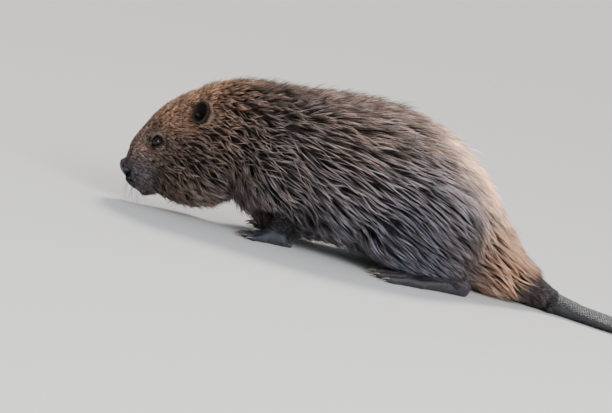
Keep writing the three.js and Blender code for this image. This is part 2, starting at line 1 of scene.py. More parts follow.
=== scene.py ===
# %% [markdown]
# # A beaver, life size
#
# A beaver is a heavy, rounded animal: a deep head with small eyes and ears, a long coat that is soaked into
# locks, bare webbed feet and a flat scaly tail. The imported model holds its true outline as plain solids, one
# for each part of the body. This notebook dresses them. It loads the solids as a fixed frame and makes every
# visible piece to fit: one skin, a coat of locks over it, eyes, claws, whiskers and the scales of the tail.

import math

import bpy
import numpy as np
from mathutils import Matrix, Vector, kdtree


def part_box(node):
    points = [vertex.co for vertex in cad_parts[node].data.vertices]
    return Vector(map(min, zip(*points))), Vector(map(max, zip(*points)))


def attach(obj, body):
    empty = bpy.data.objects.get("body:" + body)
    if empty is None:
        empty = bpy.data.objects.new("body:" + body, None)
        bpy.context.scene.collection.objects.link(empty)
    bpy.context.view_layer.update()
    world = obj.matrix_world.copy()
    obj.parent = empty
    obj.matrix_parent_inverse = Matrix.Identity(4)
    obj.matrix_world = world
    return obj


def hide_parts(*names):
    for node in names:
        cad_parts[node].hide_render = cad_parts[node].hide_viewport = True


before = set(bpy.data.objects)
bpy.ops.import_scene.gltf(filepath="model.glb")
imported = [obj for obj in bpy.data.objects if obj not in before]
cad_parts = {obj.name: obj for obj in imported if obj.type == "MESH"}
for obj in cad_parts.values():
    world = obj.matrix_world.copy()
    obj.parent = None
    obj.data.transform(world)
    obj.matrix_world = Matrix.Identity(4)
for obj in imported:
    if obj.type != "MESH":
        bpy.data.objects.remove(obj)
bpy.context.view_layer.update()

# %% [markdown]
# ## Measuring on the body
#
# A taxidermist measures an animal from the tip of its nose. So do the tables here: x is the distance behind
# the nose, y the distance right of the middle and z the height above the ground, all in millimetres. The
# frame is in metres with its origin under the middle of the animal, and two short functions go between them.

# %% Millimetres behind the nose
MM = 0.001
AHEAD = 6.3  # how far the leather of the nose reaches ahead of the zero of the tables
ZERO = np.array([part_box("nose")[0].x + AHEAD * MM, 0, 0])
SIDES = {"left": -1, "right": 1}


def to_frame(points):
    return np.asarray(points, float) * MM + ZERO


def to_table(point):
    return (np.array(point) - ZERO) / MM


def box_middle(node):
    lo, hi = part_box(node)
    return to_table((lo + hi) / 2)


# %% [markdown]
# ## The camera, the floor and the light
#
# The camera stands low on the animal's left, far away behind a long lens, so that the body keeps its true
# proportions. It is rolled to one side, because the animal climbs a slope and its floor here is level. That
# floor is a plain pale sheet, wide enough to fill the view. A soft sun from behind rims the back, a cool
# window in front puts a sheen on the wet coat, and a pale sky fills the shadows.

# %% Camera
AZIMUTH, ELEVATION, ROLL = -3, 8, 15  # in degrees; azimuth 0 looks straight at the left side
TARGET = Vector((-0.1822, -0.0546, 0.0718))
DISTANCE = 5.0
FRAME_WIDTH = 1.0098  # what the picture spans at the target


def add_object(name, data):
    made = bpy.data.objects.new(name, data)
    bpy.context.scene.collection.objects.link(made)
    return made


def add_camera():
    data = bpy.data.cameras.new("camera")
    data.sensor_width = 36
    data.lens = data.sensor_width * DISTANCE / FRAME_WIDTH
    data.clip_end = 200
    camera = add_object("camera", data)
    turns = [(AZIMUTH, "Z"), (90 - ELEVATION, "X"), (ROLL, "Z")]
    aim = Matrix.Identity(3)
    for angle, axis in turns:
        aim = aim @ Matrix.Rotation(math.radians(angle), 3, axis)
    camera.matrix_world = Matrix.Translation(TARGET + aim.col[2] * DISTANCE) @ aim.to_4x4()
    bpy.context.scene.camera = camera
    return camera


camera = add_camera()
print("camera at", [round(v, 2) for v in camera.matrix_world.translation], "lens", round(camera.data.lens))

# %% Floor and light
FLOOR_SIZE = 60
FLOOR_COLOR, FLOOR_ROUGHNESS = (0.62, 0.61, 0.59, 1), 0.8
SKY_COLOR, SKY_STRENGTH = (0.80, 0.84, 0.90, 1), 0.75
# Name, kind, where it shines from, strength, size (degrees for the sun, metres for the window), colour.
LAMPS = [
    ("sun", "SUN", (0.25, 0.75, 0.9), 3.4, 16, (1.0, 0.95, 0.88)),
    ("window", "AREA", (1.8, -3.2, 2.1), 210, 2.5, (0.93, 0.96, 1.0)),
]


def add_floor():
    mesh = bpy.data.meshes.new("floor")
    half = FLOOR_SIZE / 2
    corners = [(-half, -half, 0), (half, -half, 0), (half, half, 0), (-half, half, 0)]
    mesh.from_pydata(corners, [], [(0, 1, 2, 3)])
    material = bpy.data.materials.new("pale_floor")
    material.use_nodes = True
    shader = material.node_tree.nodes["Principled BSDF"]
    shader.inputs["Base Color"].default_value = FLOOR_COLOR
    shader.inputs["Roughness"].default_value = FLOOR_ROUGHNESS
    mesh.materials.append(material)
    add_object("floor", mesh)


def add_lamp(name, kind, toward, strength, size, color):
    data = bpy.data.lights.new(name, kind)
    data.energy = strength
    data.color = color
    lamp = add_object(name, data)
    if kind == "SUN":
        data.angle = math.radians(size)
    else:
        data.size = size
        lamp.location = toward
    lamp.rotation_euler = Vector(toward).to_track_quat("Z", "Y").to_euler()


def add_sky():
    world = bpy.data.worlds.new("sky")
    world.use_nodes = True
    background = world.node_tree.nodes["Background"]
    background.inputs["Color"].default_value = SKY_COLOR
    background.inputs["Strength"].default_value = SKY_STRENGTH
    bpy.context.scene.world = world


add_floor()
for lamp in LAMPS:
    add_lamp(*lamp)
add_sky()
print("floor", FLOOR_SIZE, "m wide, lit by", [lamp[0] for lamp in LAMPS], "and the sky")

# %% [markdown]
# ## The form of the body
#
# Flesh has no edges, so a skin put together from separate shapes shows its seams. The form here is a field
# instead: a function that is negative inside the animal and positive outside, with its zero on the skin.
# Fields join smoothly with a soft minimum, and one table gives two surfaces: the tips of the coat, which is
# what the solids hold, and the skin, which lies deeper by the depth of the coat at that place.

# %% Field tools
def smooth_min(a, b, blend):
    near = np.maximum(blend - np.abs(a - b), 0) / blend
    return np.minimum(a, b) - near * near * blend / 4


def smooth_max(a, b, blend):
    return -smooth_min(-a, -b, blend)


def to_field(radial, ratio):
    return radial * (1 - 1 / np.maximum(ratio, 1e-6))


def smooth_line(points, steps):
    """A line that runs smoothly through the points, with a number of steps from each to the next."""
    p = np.vstack([2 * points[0] - points[1], points, 2 * points[-1] - points[-2]])
    gap = np.sum(np.diff(p, axis=0) ** 2, axis=1) ** 0.25
    t = (np.arange(steps) / steps)[:, None]
    line = []
    for (p0, p1, p2, p3), (g0, g1, g2) in zip(zip(p, p[1:], p[2:], p[3:]), zip(gap, gap[1:], gap[2:])):
        m1 = ((p1 - p0) / g0 - (p2 - p0) / (g0 + g1) + (p2 - p1) / g1) * g1
        m2 = ((p2 - p1) / g1 - (p3 - p1) / (g1 + g2) + (p3 - p2) / g2) * g1
        line.append(
            (2 * t**3 - 3 * t**2 + 1) * p1 + (t**3 - 2 * t**2 + t) * m1
            + (3 * t**2 - 2 * t**3) * p2 + (t**3 - t**2) * m2
        )
    return np.vstack(line + [points[-1:]])


def unit(v):
    return v / np.maximum(np.linalg.norm(v, axis=-1, keepdims=True), 1e-9)


print("two fields of 3 mm, joined over 4 mm, give", smooth_min(3.0, 3.0, 4.0), "mm")

# %% Body, swellings and legs
# Each station has the middle of the section, how far the coat reaches above, below and to either side of it,
# and the depth of the coat there.
BODY = {
    #             x     y    z     up  down  side  coat
    "nose":       (12, -14, 54,    16, 18, 16,     1.5),
    "lips":       (24, -13, 62,    36, 36, 25,     2),
    "muzzle":     (42, -12, 76,    52, 60, 33,     4),
    "eyes":       (64, -10, 92,    67, 79, 41,     6),
    "brow":       (92, -8, 112,    82, 92, 50,     9),
    "ears":       (124, -6, 130,   93, 92, 58,     12),
    "nape":       (164, -3, 141,   106, 87, 70,    16),
    "shoulders":  (216, 0, 142,    112, 100, 90,   19),
    "chest":      (280, 0, 137,    125, 121, 112,  21),
    "ribs":       (345, 0, 130,    139, 120, 130,  23),
    "loin":       (410, 0, 122,    146, 113, 139,  23),
    "hips":       (476, 0, 111,    138, 103, 140,  23),
    "rump":       (536, 0, 95,     111, 88, 124,   22),
    "tail_head":  (590, 0, 74,     77, 68, 94,     19),
    "tail_root":  (640, -2, 52,    47, 49, 64,     14),
    "tail_neck":  (692, -8, 34,    29, 33, 44,     8),
    "tail_fur":   (742, -19, 21,   18, 23, 35,     4),
    "tail_inner": (784, -29, 16,   12, 16, 34,     3),
}
# Swellings of flesh: middle, radii, tip of the front end in degrees, lean to the left, leg, depth of coat.
SWELLINGS = [
    ((96, 24, 80), (46, 28, 38), 40, -12, None, 9),
    ((134, 28, 84), (46, 32, 40), 20, -12, None, 12),
    ((30, 12, 50), (20, 14, 18), 50, -12, None, 3),
    ((262, 62, 112), (62, 42, 76), -20, 0, "fore", 18),
    ((508, 92, 92), (90, 48, 80), 0, 0, "hind", 18),
    ((466, 100, 62), (52, 36, 42), 0, 0, "hind", 13),
]
# Joints of the legs: place, radius with the coat, depth of the coat.
LEGS = {
    "fore": [((268, 70, 108), 40, 10), ((298, 76, 62), 26, 8), ((272, 69, 26), 17, 3)],
    "hind": [((520, 82, 110), 54, 12), ((466, 108, 62), 36, 9), ((574, 106, 28), 19, 3)],
}
STEP = {("left", "fore"): 0, ("left", "hind"): 0, ("right", "fore"): 16, ("right", "hind"): -12}
STATIONS = np.array(list(BODY.values()), float)
print(len(STATIONS), "stations,", len(SWELLINGS), "pairs of swellings and", len(LEGS), "pairs of legs")

# %% Swept body, ellipsoids and rods
SQUARENESS = 2.25  # of the sections; 2 is an ellipse
END_DEPTH = 14
LINE_STEPS = 6
SLICE = 3000  # points worked out at a time
REACH = 130  # how far ahead of or behind a place its nearest station can be


def sweep(middles, girths):
    """The field of a body swept along stations, with its own reach above, below and aside."""
    line, girth = smooth_line(middles, LINE_STEPS), smooth_line(girths, LINE_STEPS)
    start, run = line[:-1][:, [0, 2]], np.diff(line, axis=0)[:, [0, 2]]
    length = np.linalg.norm(run, axis=1)
    last = len(start) - 1

    def of_slice(q):
        low = min(np.searchsorted(line[:, 0], q[0, 0] - REACH), last)
        high = max(np.searchsorted(line[:, 0], q[-1, 0] + REACH), low + 1)
        part = slice(low, min(high, last + 1))
        away = q[:, None, [0, 2]] - start[part]
        share = np.clip(np.sum(away * run[part], axis=2) / length[part] ** 2, 0, 1)
        miss = np.sum((away - share[..., None] * run[part]) ** 2, axis=2)
        pick = np.arange(len(q)), np.argmin(miss, axis=1)
        at, t = pick[1] + low, share[pick][:, None]
        middle = line[at] * (1 - t) + line[at + 1] * t
        up, down, side = (girth[at] * (1 - t) + girth[at + 1] * t).T
        way = run[at] / length[at][:, None]
        off = q - middle
        height = off[:, 2] * way[:, 0] - off[:, 0] * way[:, 1]
        t = t[:, 0]
        past = ((at == 0) & (t == 0)) | ((at == last) & (t == 1))
        along = np.where(past, off[:, 0] * way[:, 0] + off[:, 2] * way[:, 1], 0)
        over = np.where(past, height, np.sign(height) * np.hypot(off[:, 0], off[:, 2]))
        ratio = (
            np.abs(over / np.where(over > 0, up, down)) ** SQUARENESS
            + np.abs(off[:, 1] / side) ** SQUARENESS
            + np.abs(along / END_DEPTH) ** SQUARENESS
        ) ** (1 / SQUARENESS)
        return to_field(np.sqrt(along**2 + over**2 + off[:, 1] ** 2), ratio)

    def form(p):
        value = np.empty(len(p))
        order = np.argsort(p[:, 0])
        for part in np.array_split(order, len(p) // SLICE + 1):
            if len(part):
                value[part] = of_slice(p[part])
        return value

    return form


def ellipsoid(middle, radii, tip=0.0):
    """An ellipsoid whose front end is tipped down by an angle in degrees."""
    c, s = math.cos(math.radians(tip)), math.sin(math.radians(tip))

    def form(p):
        x, y, z = (p - np.array(middle, float)).T
        turned = np.stack([x * c + z * s, y, z * c - x * s])
        ratio = np.sqrt(np.sum((turned / np.array(radii, float)[:, None]) ** 2, axis=0))
        return to_field(np.sqrt(x * x + y * y + z * z), ratio)

    return form


def rod(a, b, radius_a, radius_b):
    """A tapered rod with round ends."""
    a, run = np.array(a, float), np.array(b, float) - np.array(a, float)

    def form(p):
        away = p - a
        t = np.clip(away @ run / (run @ run), 0, 1)
        return np.linalg.norm(away - t[:, None] * run, axis=1) - radius_a - (radius_b - radius_a) * t

    return form


print("2 mm outside a ball:", ellipsoid((0, 0, 0), (10,) * 3)(np.array([[12.0, 0, 0]])))

# %% Two surfaces from one table
FLESH_BLEND, LEG_BLEND = 34, 20


def body_form(bare):
    """Head, trunk and legs. bare is 0 at the tips of the coat and 1 on the skin."""
    line = sweep(STATIONS[:, :3], STATIONS[:, 3:6] - bare * STATIONS[:, 6:])
    lumps, rods = [], []
    for name, side in SIDES.items():
        for (x, y, z), radii, tip, lean, leg, depth in SWELLINGS:
            back = STEP[name, leg] if leg else 0
            lumps.append(ellipsoid((x + back, y * side + lean, z), np.array(radii) - bare * depth, tip))
        for leg, joints in LEGS.items():
            for (a, ra, da), (b, rb, db) in zip(joints, joints[1:]):
                ends = [(x + STEP[name, leg], y * side, z) for x, y, z in (a, b)]
                rods.append(rod(*ends, ra - bare * da, rb - bare * db))

    def form(p):
        d = line(p)
        for lump in lumps:
            d = smooth_min(d, lump(p), FLESH_BLEND)
        for bone in rods:
            d = smooth_min(d, bone(p), LEG_BLEND)
        return d

    return form


def slope(form, p, step=0.4):
    """The field at each point, and the way in which it grows."""
    value = form(p)
    return value, np.stack([(form(p + step * axis) - value) / step for axis in np.eye(3)], axis=1)


def settle(form, p, rounds=2, stride=2.0):
    """Moves points onto the surface of a form."""
    for _ in range(rounds):
        value, grow = slope(form, p)
        size = np.sum(grow**2, axis=1) + 1e-9
        p = p - np.clip(value / size, -stride, stride)[:, None] * grow
    return p


coat_form, flesh_form = body_form(0), body_form(1)
probe = np.array([[380.0, 0, 250], [500, 0, 220], [100, 0, 190]])
print("coat over back, rump and crown:", np.round(flesh_form(probe) - coat_form(probe), 1), "mm")

# %% [markdown]
# ## Feet, ears, nose, lids and tail
#
# These are small forms with sharper shapes. They could be modelled by hand and joined on, but a join shows in
# the skin. So each is a field of its own, worked out only in its own box, and joined to the flesh with a
# blend that suits it: wide where a wrist runs into a palm, tight round a nostril. What is hollow, such as an
# ear, a nostril or the slit between the lids, is cut out of the form in the same way.

# %% Feet
# From the heel forward. Palm: forward, half width, half depth. Digits: outward at the root, outward at the
# end, how far forward the end is, radius, length of the claw. The box reaches as far to each side as it says.
FEET = {
    "fore": {
        "heel": (296, 66), "splay": 4, "digit_root": 42, "webbed": False, "box": 42,
        "palm": [(0, 6, 5), (8, 13, 11), (26, 17, 14), (42, 19, 11), (54, 19, 8)],
        "digits": [
            (-15, -24, 58, 4.4, 10), (-8, -13, 71, 5, 15), (0, 0, 75, 5.2, 16), (8, 13, 72, 5, 15),
            (15, 24, 63, 4.6, 13),
        ],
    },
    "hind": {
        "heel": (598, 103), "splay": 6, "digit_root": 80, "webbed": True, "box": 62,
        "palm": [(8, 7, 6), (22, 14, 11), (46, 21, 12.5), (74, 31, 10), (98, 37, 7)],
        "digits": [
            (-28, -42, 134, 5.8, 12), (-15, -22, 149, 6.4, 13), (-1, 0, 157, 6.8, 14), (14, 24, 154, 6.8, 14),
            (28, 46, 140, 6.4, 13),
        ],
    },
}
# Along a digit: share of its length, radius and height of the middle as shares of the digit's radius.
KNUCKLES = [
    (0, 1, 1.2), (0.25, 0.88, 1.35), (0.45, 1.06, 1.4), (0.66, 0.86, 1.15), (0.84, 1, 0.95), (1, 0.72, 0.85),
]
PALM_RISE = 0.85  # height of a palm's middle, as a share of its half depth
TENDON = 2.4  # radius of the ridge that a tendon raises
TENDON_STEPS = ((0.42, 0.5), (0.7, 0.78), (0.98, 1.0))  # how far along the palm, and how far out
WEB_BACK, WEB_SHORT, WEB_SCALLOP, WEB_LIFT = 12, 8, 12, 2.8
WEB_ARCH, WEB_HALF = 1.2, 1.5  # how far the web bows up between two toes, and half its thickness
TOE_BLEND, PAW_BLEND = 1.5, 3
print("digits:", {leg: len(kind["digits"]) for leg, kind in FEET.items()})

# %% Palm, toes and web in one field
def paw_axes(leg, name):
    """Heel, forward way and outward way of one foot."""
    x, y = FEET[leg]["heel"]
    turn, side = math.radians(FEET[leg]["splay"]), SIDES[name]
    heel = np.array([x + STEP[name, leg], y * side, 0.0])
    forward = np.array([-math.cos(turn), math.sin(turn) * side, 0])
    outward = np.array([math.sin(turn), math.cos(turn) * side, 0])
    return heel, forward, outward


def digit_points(kind, digit):
    """Middle and radius of each knuckle: forward, outward, up, radius."""
    root_out, end_out, end, radius, _ = digit
    return [
        (kind["digit_root"] + (end - kind["digit_root"]) * share, root_out + (end_out - root_out) * share,
         radius * rise, radius * size)
        for share, size, rise in KNUCKLES
    ]


def tendon_points(kind, digit):
    """A low ridge over the back of the palm, up to the root of each digit."""
    forward, wide, deep = np.array(kind["palm"], float).T
    points = []
    for share, out in TENDON_STEPS:
        at, aside = kind["digit_root"] * share, digit[0] * out
        w, d = np.interp(at, forward, wide), np.interp(at, forward, deep)
        high = d * (PALM_RISE + math.sqrt(max(0.0, 1 - (aside / w) ** 2)))
        points.append((at, aside, high - TENDON * 0.5, TENDON * digit[3] / 6))
    return points


def palm_form(kind):
    forward, wide, deep = smooth_line(np.array(kind["palm"], float), 4).T

    def form(q):
        f = np.clip(q[:, 0], forward[0], forward[-1])
        w, d = np.interp(f, forward, wide), np.interp(f, forward, deep)
        past, over = q[:, 0] - f, q[:, 2] - d * PALM_RISE
        ratio = np.sqrt((q[:, 1] / w) ** 2 + (over / d) ** 2 + (past / 8) ** 2)
        return to_field(np.sqrt(past**2 + q[:, 1] ** 2 + over**2), ratio)

    return form


def web_form(kind):
    """The skin between the toes: a thin sheet with a scallop between each two."""
    def form(q):
        best = np.full(len(q), 99.0)
        for one, two in zip(kind["digits"], kind["digits"][1:]):
            ahead = q[:, 0] - kind["digit_root"]
            lines = [d[0] + (d[1] - d[0]) * ahead / (d[2] - kind["digit_root"]) for d in (one, two)]
            across = (q[:, 1] - lines[0]) / np.maximum(lines[1] - lines[0], 1)
            level = np.clip(across, 0, 1)
            front = one[2] + (two[2] - one[2]) * level - WEB_SHORT - WEB_SCALLOP * 4 * level * (1 - level)
            aside = np.maximum(-across, across - 1) * (lines[1] - lines[0])
            sheet = np.abs(q[:, 2] - WEB_LIFT - WEB_ARCH * np.sin(level * math.pi)) - WEB_HALF
            behind = kind["digit_root"] - WEB_BACK - q[:, 0]
            best = np.minimum(best, np.max([q[:, 0] - front, aside, sheet, behind], axis=0))
        return best

    return form


def paw_form(leg, name):
    """One foot without its claws, as a field over points of the tables."""
    kind = FEET[leg]
    heel, forward, outward = paw_axes(leg, name)
    palm = palm_form(kind)
    digits = [
        [rod(a[:3], b[:3], a[3], b[3]) for a, b in zip(line, line[1:])]
        for line in (tendon_points(kind, d) + digit_points(kind, d) for d in kind["digits"])
    ]
    web = web_form(kind) if kind["webbed"] else None

    def form(p):
        away = p - heel
        q = np.stack([away @ forward, away @ outward, p[:, 2]], axis=1)
        d = palm(q)
        for bones in digits:
            toe = bones[0](q)
            for bone in bones[1:]:
                toe = smooth_min(toe, bone(q), TOE_BLEND)
            d = smooth_min(d, toe, PAW_BLEND)
        return smooth_min(d, web(q), PAW_BLEND) if web else d

    reach = max(d[2] for d in kind["digits"]) + 12
    aside = (-kind["box"], kind["box"])
    corners = np.array([heel + forward * f + outward * o for f in (-14, reach) for o in aside])
    lo, hi = corners.min(0), corners.max(0)
    return form, np.array([lo[0], lo[1], -5]), np.array([hi[0], hi[1], 40])


print("the left hand fills", *(np.round(v) for v in paw_form("fore", "left")[1:]))

# %% Heels
HEEL_RADIUS, HEEL_AHEAD, HEEL_HEIGHT = 15, 10, 15.2
ANKLE = 18, 13  # how far ahead of the heel's middle and above it the ankle lies


def heel_ball(name):
    heel, forward, _ = paw_axes("hind", name)
    return heel + forward * HEEL_AHEAD + (0, 0, HEEL_HEIGHT)


def heel_form(name):
    """The round heel of a hind foot, between the ankle and the sole."""
    low = heel_ball(name)
    high = low + paw_axes("hind", name)[1] * ANKLE[0] + (0, 0, ANKLE[1])
    return rod(low, high, HEEL_RADIUS, HEEL_RADIUS), np.minimum(low, high) - 20, np.maximum(low, high) + 20


print("toes of one hind foot end", [d[2] for d in FEET["hind"]["digits"]], "mm ahead of the heel")

# %% Ears
EAR = {
    "x": 108, "z": 175.5, "radius": 18, "height": 16, "flat": 0.92, "sunk": 9, "opens": (-0.44, 0.84, 0.28),
}
EAR_RISE = 0.55  # the back edge of the cup stands higher than the front edge
# Outside and inside of the cup: height and radius, as shares of the ear's own.
EAR_OUTSIDE = [(-0.2, 0.0), (0, 0.2), (0.12, 0.6), (0.5, 0.94), (0.88, 1), (1.1, 1.0)]
EAR_INSIDE = [(0.22, 0.0), (0.3, 0.42), (0.6, 0.78), (0.9, 0.91), (1.2, 0.98)]
HALF_BODY = 190  # farther from the middle than any part of the body


def body_middle(x):
    return np.interp(x, STATIONS[:, 0], STATIONS[:, 1])


def on_side(form, x, z, side, sunk=0.0):
    """A place on the side of a form, sunk into it by a depth."""
    inner, outer = body_middle(x), body_middle(x) + side * HALF_BODY
    for _ in range(30):
        middle = (inner + outer) / 2
        inside = form(np.array([[x, middle, z]]))[0] < 0
        inner, outer = (middle, outer) if inside else (inner, middle)
    return np.array([x, inner - side * sunk, z])


def ear_axes(side):
    """Root of the ear, the way to its back edge, the way in which it opens, and the third way."""
    opens = unit(np.array([EAR["opens"][0], EAR["opens"][1] * side, EAR["opens"][2]]))
    back = unit(np.array([1.0, 0, 0]) - opens * opens[0])
    return on_side(coat_form, EAR["x"], EAR["z"], side, EAR["sunk"]), back, opens, np.cross(back, opens)


EARS = {side: ear_axes(side) for side in SIDES.values()}


def in_ear(p, side):
    """Places in the ear's own axes: back, out and across, and the height as a share of the cup there."""
    root, *axes = EARS[side]
    b, o, w = ((p - root) @ axis for axis in axes)
    return b, o, w, o / (EAR["height"] * (1 + EAR_RISE * b / EAR["radius"]))


def ear_hollow(p, side, wall):
    """How far a place is inside the hollow of the ear. wall makes the cup thicker."""
    b, o, w, height = in_ear(p, side)
    deep, hollow = np.array(EAR_INSIDE).T
    inside = np.interp(height, deep, hollow) * EAR["radius"] - wall - np.hypot(b / EAR["flat"], w)
    return np.minimum(inside, (height - deep[0] - wall * 0.05) * EAR["height"])


def ear_form(side, wall=0.0):
    """A thin cup, with a fold in its mouth."""
    high, out = np.array(EAR_OUTSIDE).T
    fold = ellipsoid((-5, 7, -4 * side), (6.5, 6, 3.2), 20)

    def form(p):
        b, o, w, height = in_ear(p, side)
        outside = np.hypot(b / EAR["flat"], w) - np.interp(height, high, out) * EAR["radius"]
        cup = smooth_max(outside, ear_hollow(p, side, wall), 1)
        cup = smooth_max(cup, (height - 1) * EAR["height"], 2)
        cup = np.maximum(cup, (-0.3 - height) * EAR["height"])
        return smooth_min(cup, fold(np.stack([b, o, w], axis=1)), 3)

    reach = EAR["height"] * 1.5
    root = EARS[side][0]
    return form, root - reach, root + reach


print("left ear at", np.round(EARS[-1][0]), "mm")

# %% Eyes and lids
EYE_RADIUS = 8.5
EYE_LOOKS, EYE_FORWARD = (-0.30, 0.93, 0.22), np.array([-0.80, 0, -0.42])
LID_OUT = 2.0  # thickness of the lids
LID_SLIT = (7.7, 6.8, 12)  # half width and half height of the slit, and its depth
SLIT_OUT = 3.5  # how far ahead of the eye's middle the slit's own middle is


def eye_axes(side):
    """Middle of the eyeball, the way it looks, forward along the slit, and up."""
    middle = box_middle("eye_left" if side < 0 else "eye_right")
    looks = unit(np.array(EYE_LOOKS) * (1, side, 1))
    forward = unit(EYE_FORWARD - looks * (EYE_FORWARD @ looks))
    up = np.cross(looks, forward) * side
    return middle, looks, forward, up if up[2] > 0 else -up


def lid_form(side):
    """A ball of lids round the eye, with a brow over it."""
    middle, looks, forward, up = eye_axes(side)
    ball = rod(middle, middle + looks * 0.4, EYE_RADIUS + LID_OUT, EYE_RADIUS + LID_OUT)
    brow = rod(middle + up * 8 + forward * 9, middle + up * 9 - forward * 9 + looks, 3.2, 3.4)
    bag_ends = middle - up * 8 + forward * 5 + looks * 2, middle - up * 8.5 - forward * 6 + looks * 2
    bag = rod(*bag_ends, 2.6, 2.2)
    return lambda p: smooth_min(smooth_min(ball(p), brow(p), 5), bag(p), 4), middle - 20, middle + 20


def slit_form(side):
    """The opening between the lids, drawn out to a corner at the front."""
    middle, looks, forward, up = eye_axes(side)
    corner = rod((5, -0.6, 5), (9.4, -2.6, 5.5), 2.0, 0.8)

    def form(p):
        away = p - middle
        f, u, o = away @ forward, away @ up, away @ looks
        half = LID_SLIT[1] * np.where(u > 0, 1, 0.92)
        ratio = np.sqrt((f / LID_SLIT[0]) ** 2 + (u / half) ** 2 + ((o - SLIT_OUT) / LID_SLIT[2]) ** 2)
        ball = to_field(np.sqrt(f * f + u * u + (o - SLIT_OUT) ** 2), ratio)
        return smooth_min(ball, corner(np.stack([f, u, o], axis=1)), 2)

    return form, middle - 16, middle + 16


print("eyes at", [tuple(np.round(eye_axes(s)[0])) for s in SIDES.values()], "mm")

# %% Nose and nostrils
NOSE_PAD = ((4.5, -14, 50.5), (10.6, 15.5, 11.5), 25)  # middle, radii, tip
NOSE_BLEND = 9
NOSTRIL = (7.6, 46)  # x and z of its middle


def arc_form(points, radius, blend=1.5):
    """A bent rod through some points."""
    rods = [rod(a, b, radius, radius) for a, b in zip(points, points[1:])]

    def form(p):
        d = rods[0](p)
        for bone in rods[1:]:
            d = smooth_min(d, bone(p), blend)
        return d

    return form


nose_at = np.array(NOSE_PAD[0])
pad_form = ellipsoid(*NOSE_PAD)


def face_form(p):
    """The flesh with the nose, before the nostrils."""
    return smooth_min(flesh_form(p), pad_form(p), NOSE_BLEND)


def nostril_points(side, *spots):
    """Places round the nostril, as distances behind it, above it and out of the skin."""
    x, z = NOSTRIL
    middle = on_side(face_form, x, z, side)
    return [middle + np.array([back, out * side, up]) for back, up, out in spots]


def nostril_form(side):
    """A hole like a comma: round in front, with a slit that curls up and back."""
    round_part = arc_form(nostril_points(side, (-1, -0.5, 0.5), (2, -1, -1), (5, 1, -7)), 3.9)
    curl = arc_form(nostril_points(side, (1, 0, -0.5), (5, 2.4, 0.5), (7.4, 6, 0.4)), 1.6)
    middle = nostril_points(side, (0, 0, 0))[0]
    return lambda p: smooth_min(round_part(p), curl(p), 1.5), middle - 14, middle + 14


def nostril_rim(side):
    """The wing of the nose, over the nostril, and the ledge under it."""
    wing = arc_form(nostril_points(side, (-6, 1.5, -2.4), (-4, 6, -0.8), (2.5, 8, -1.2), (9, 9, -2)), 2.6)
    ledge = arc_form(nostril_points(side, (-4, -6, -1.6), (3, -6.8, -1.2), (9, -3, -1)), 2.2)
    middle = nostril_points(side, (0, 0, 0))[0]
    return lambda p: np.minimum(wing(p), ledge(p)), middle - 16, middle + 16


print("left nostril at", np.round(nostril_points(-1, (0, 0, 0))[0]), "mm")

# %% Mouth and chin
PHILTRUM = ((-3, -14, 46), (4, -14, 34), (28, -14, 17))
CHIN_LINE = ((2.4, 39), (32, 16.5))  # the front of the lips, from the nose down
CHIN_FUR = 3.5
MOUTH_POINT, MOUTH_WAY = np.array([50, 0, 16]), np.array([0.62, 0, -0.785])
MOUTH_END, MOUTH_TAPER = 88, 14
MOUTH_HALF, MOUTH_DEEP = 1.5, 4.5  # half width and depth of the groove
LIP_ENDS = ((43, -13, 11, 26), (68, -12, 25, 42))  # x, lean of the head, distance from there, z
LIP_RADIUS = 5


def chin_form(p):
    """Beyond the front of the lips, from the nose down to the chin."""
    (x0, z0), (x1, z1) = CHIN_LINE
    way = unit(np.array([z1 - z0, x0 - x1]))
    return -((p[:, 0] - x0) * way[0] + (p[:, 2] - z0) * way[1]) - CHIN_FUR


def mouth_form(flesh):
    """A groove along the lip, as deep as the lips are thick."""
    def form(p):
        away = (p - MOUTH_POINT) @ MOUTH_WAY
        taper = np.clip((MOUTH_END - p[:, 0]) / MOUTH_TAPER, 0, 1)
        return smooth_max(np.abs(away) - MOUTH_HALF * taper, -MOUTH_DEEP * taper - flesh(p), 2)

    return form, np.array([0, -60, -5]), np.array([MOUTH_END + 4, 40, 60])


def lip_form(side):
    """The edge of the upper lip, which hangs over the mouth."""
    ends = [np.array([x, lean + aside * side, z]) for x, lean, aside, z in LIP_ENDS]
    return rod(*ends, LIP_RADIUS, LIP_RADIUS), np.minimum(*ends) - 20, np.maximum(*ends) + 20


print("the lips close at", CHIN_LINE[1], "mm and end at", MOUTH_END, "mm")

# %% Tail blade
TAIL = {
    "start": 750, "length": 238, "half_width": 56, "root_half_width": 33, "root_half_depth": 16,
    "tip_half_depth": 4.5, "swing": -0.24,
}
BLADE_WIDEST, BLADE_ROUNDNESS = 0.5, 2.6
BLADE_BEFORE = 0.12  # how far before its start, as a share of its length, the blade begins to widen
BLADE_END = 0.998  # just short of the tip, where its width would be nothing
BLADE_SUNK = 10  # how far the blade runs into the root of the tail
BLADE_INSIDE = 12  # the field is no deeper than this


def tail_middle(x):
    last_x, last_y = BODY["tail_inner"][:2]
    return last_y + (x - last_x) * TAIL["swing"]


def blade_size(x):
    """Half width and half depth of the blade at a distance behind the nose."""
    t = np.clip((x - TAIL["start"]) / TAIL["length"], 0, BLADE_END)
    grow = np.clip((t + BLADE_BEFORE) / (BLADE_WIDEST + BLADE_BEFORE), 0, 1)
    full = TAIL["root_half_width"] + (TAIL["half_width"] - TAIL["root_half_width"]) * grow**2 * (3 - 2 * grow)
    close = np.maximum(0, (t - BLADE_WIDEST) / (1 - BLADE_WIDEST))
    wide = full * np.sqrt(1 - close**BLADE_ROUNDNESS)
    deep = TAIL["root_half_depth"] + (TAIL["tip_half_depth"] - TAIL["root_half_depth"]) * t**0.7
    return wide, np.minimum(wide, deep)


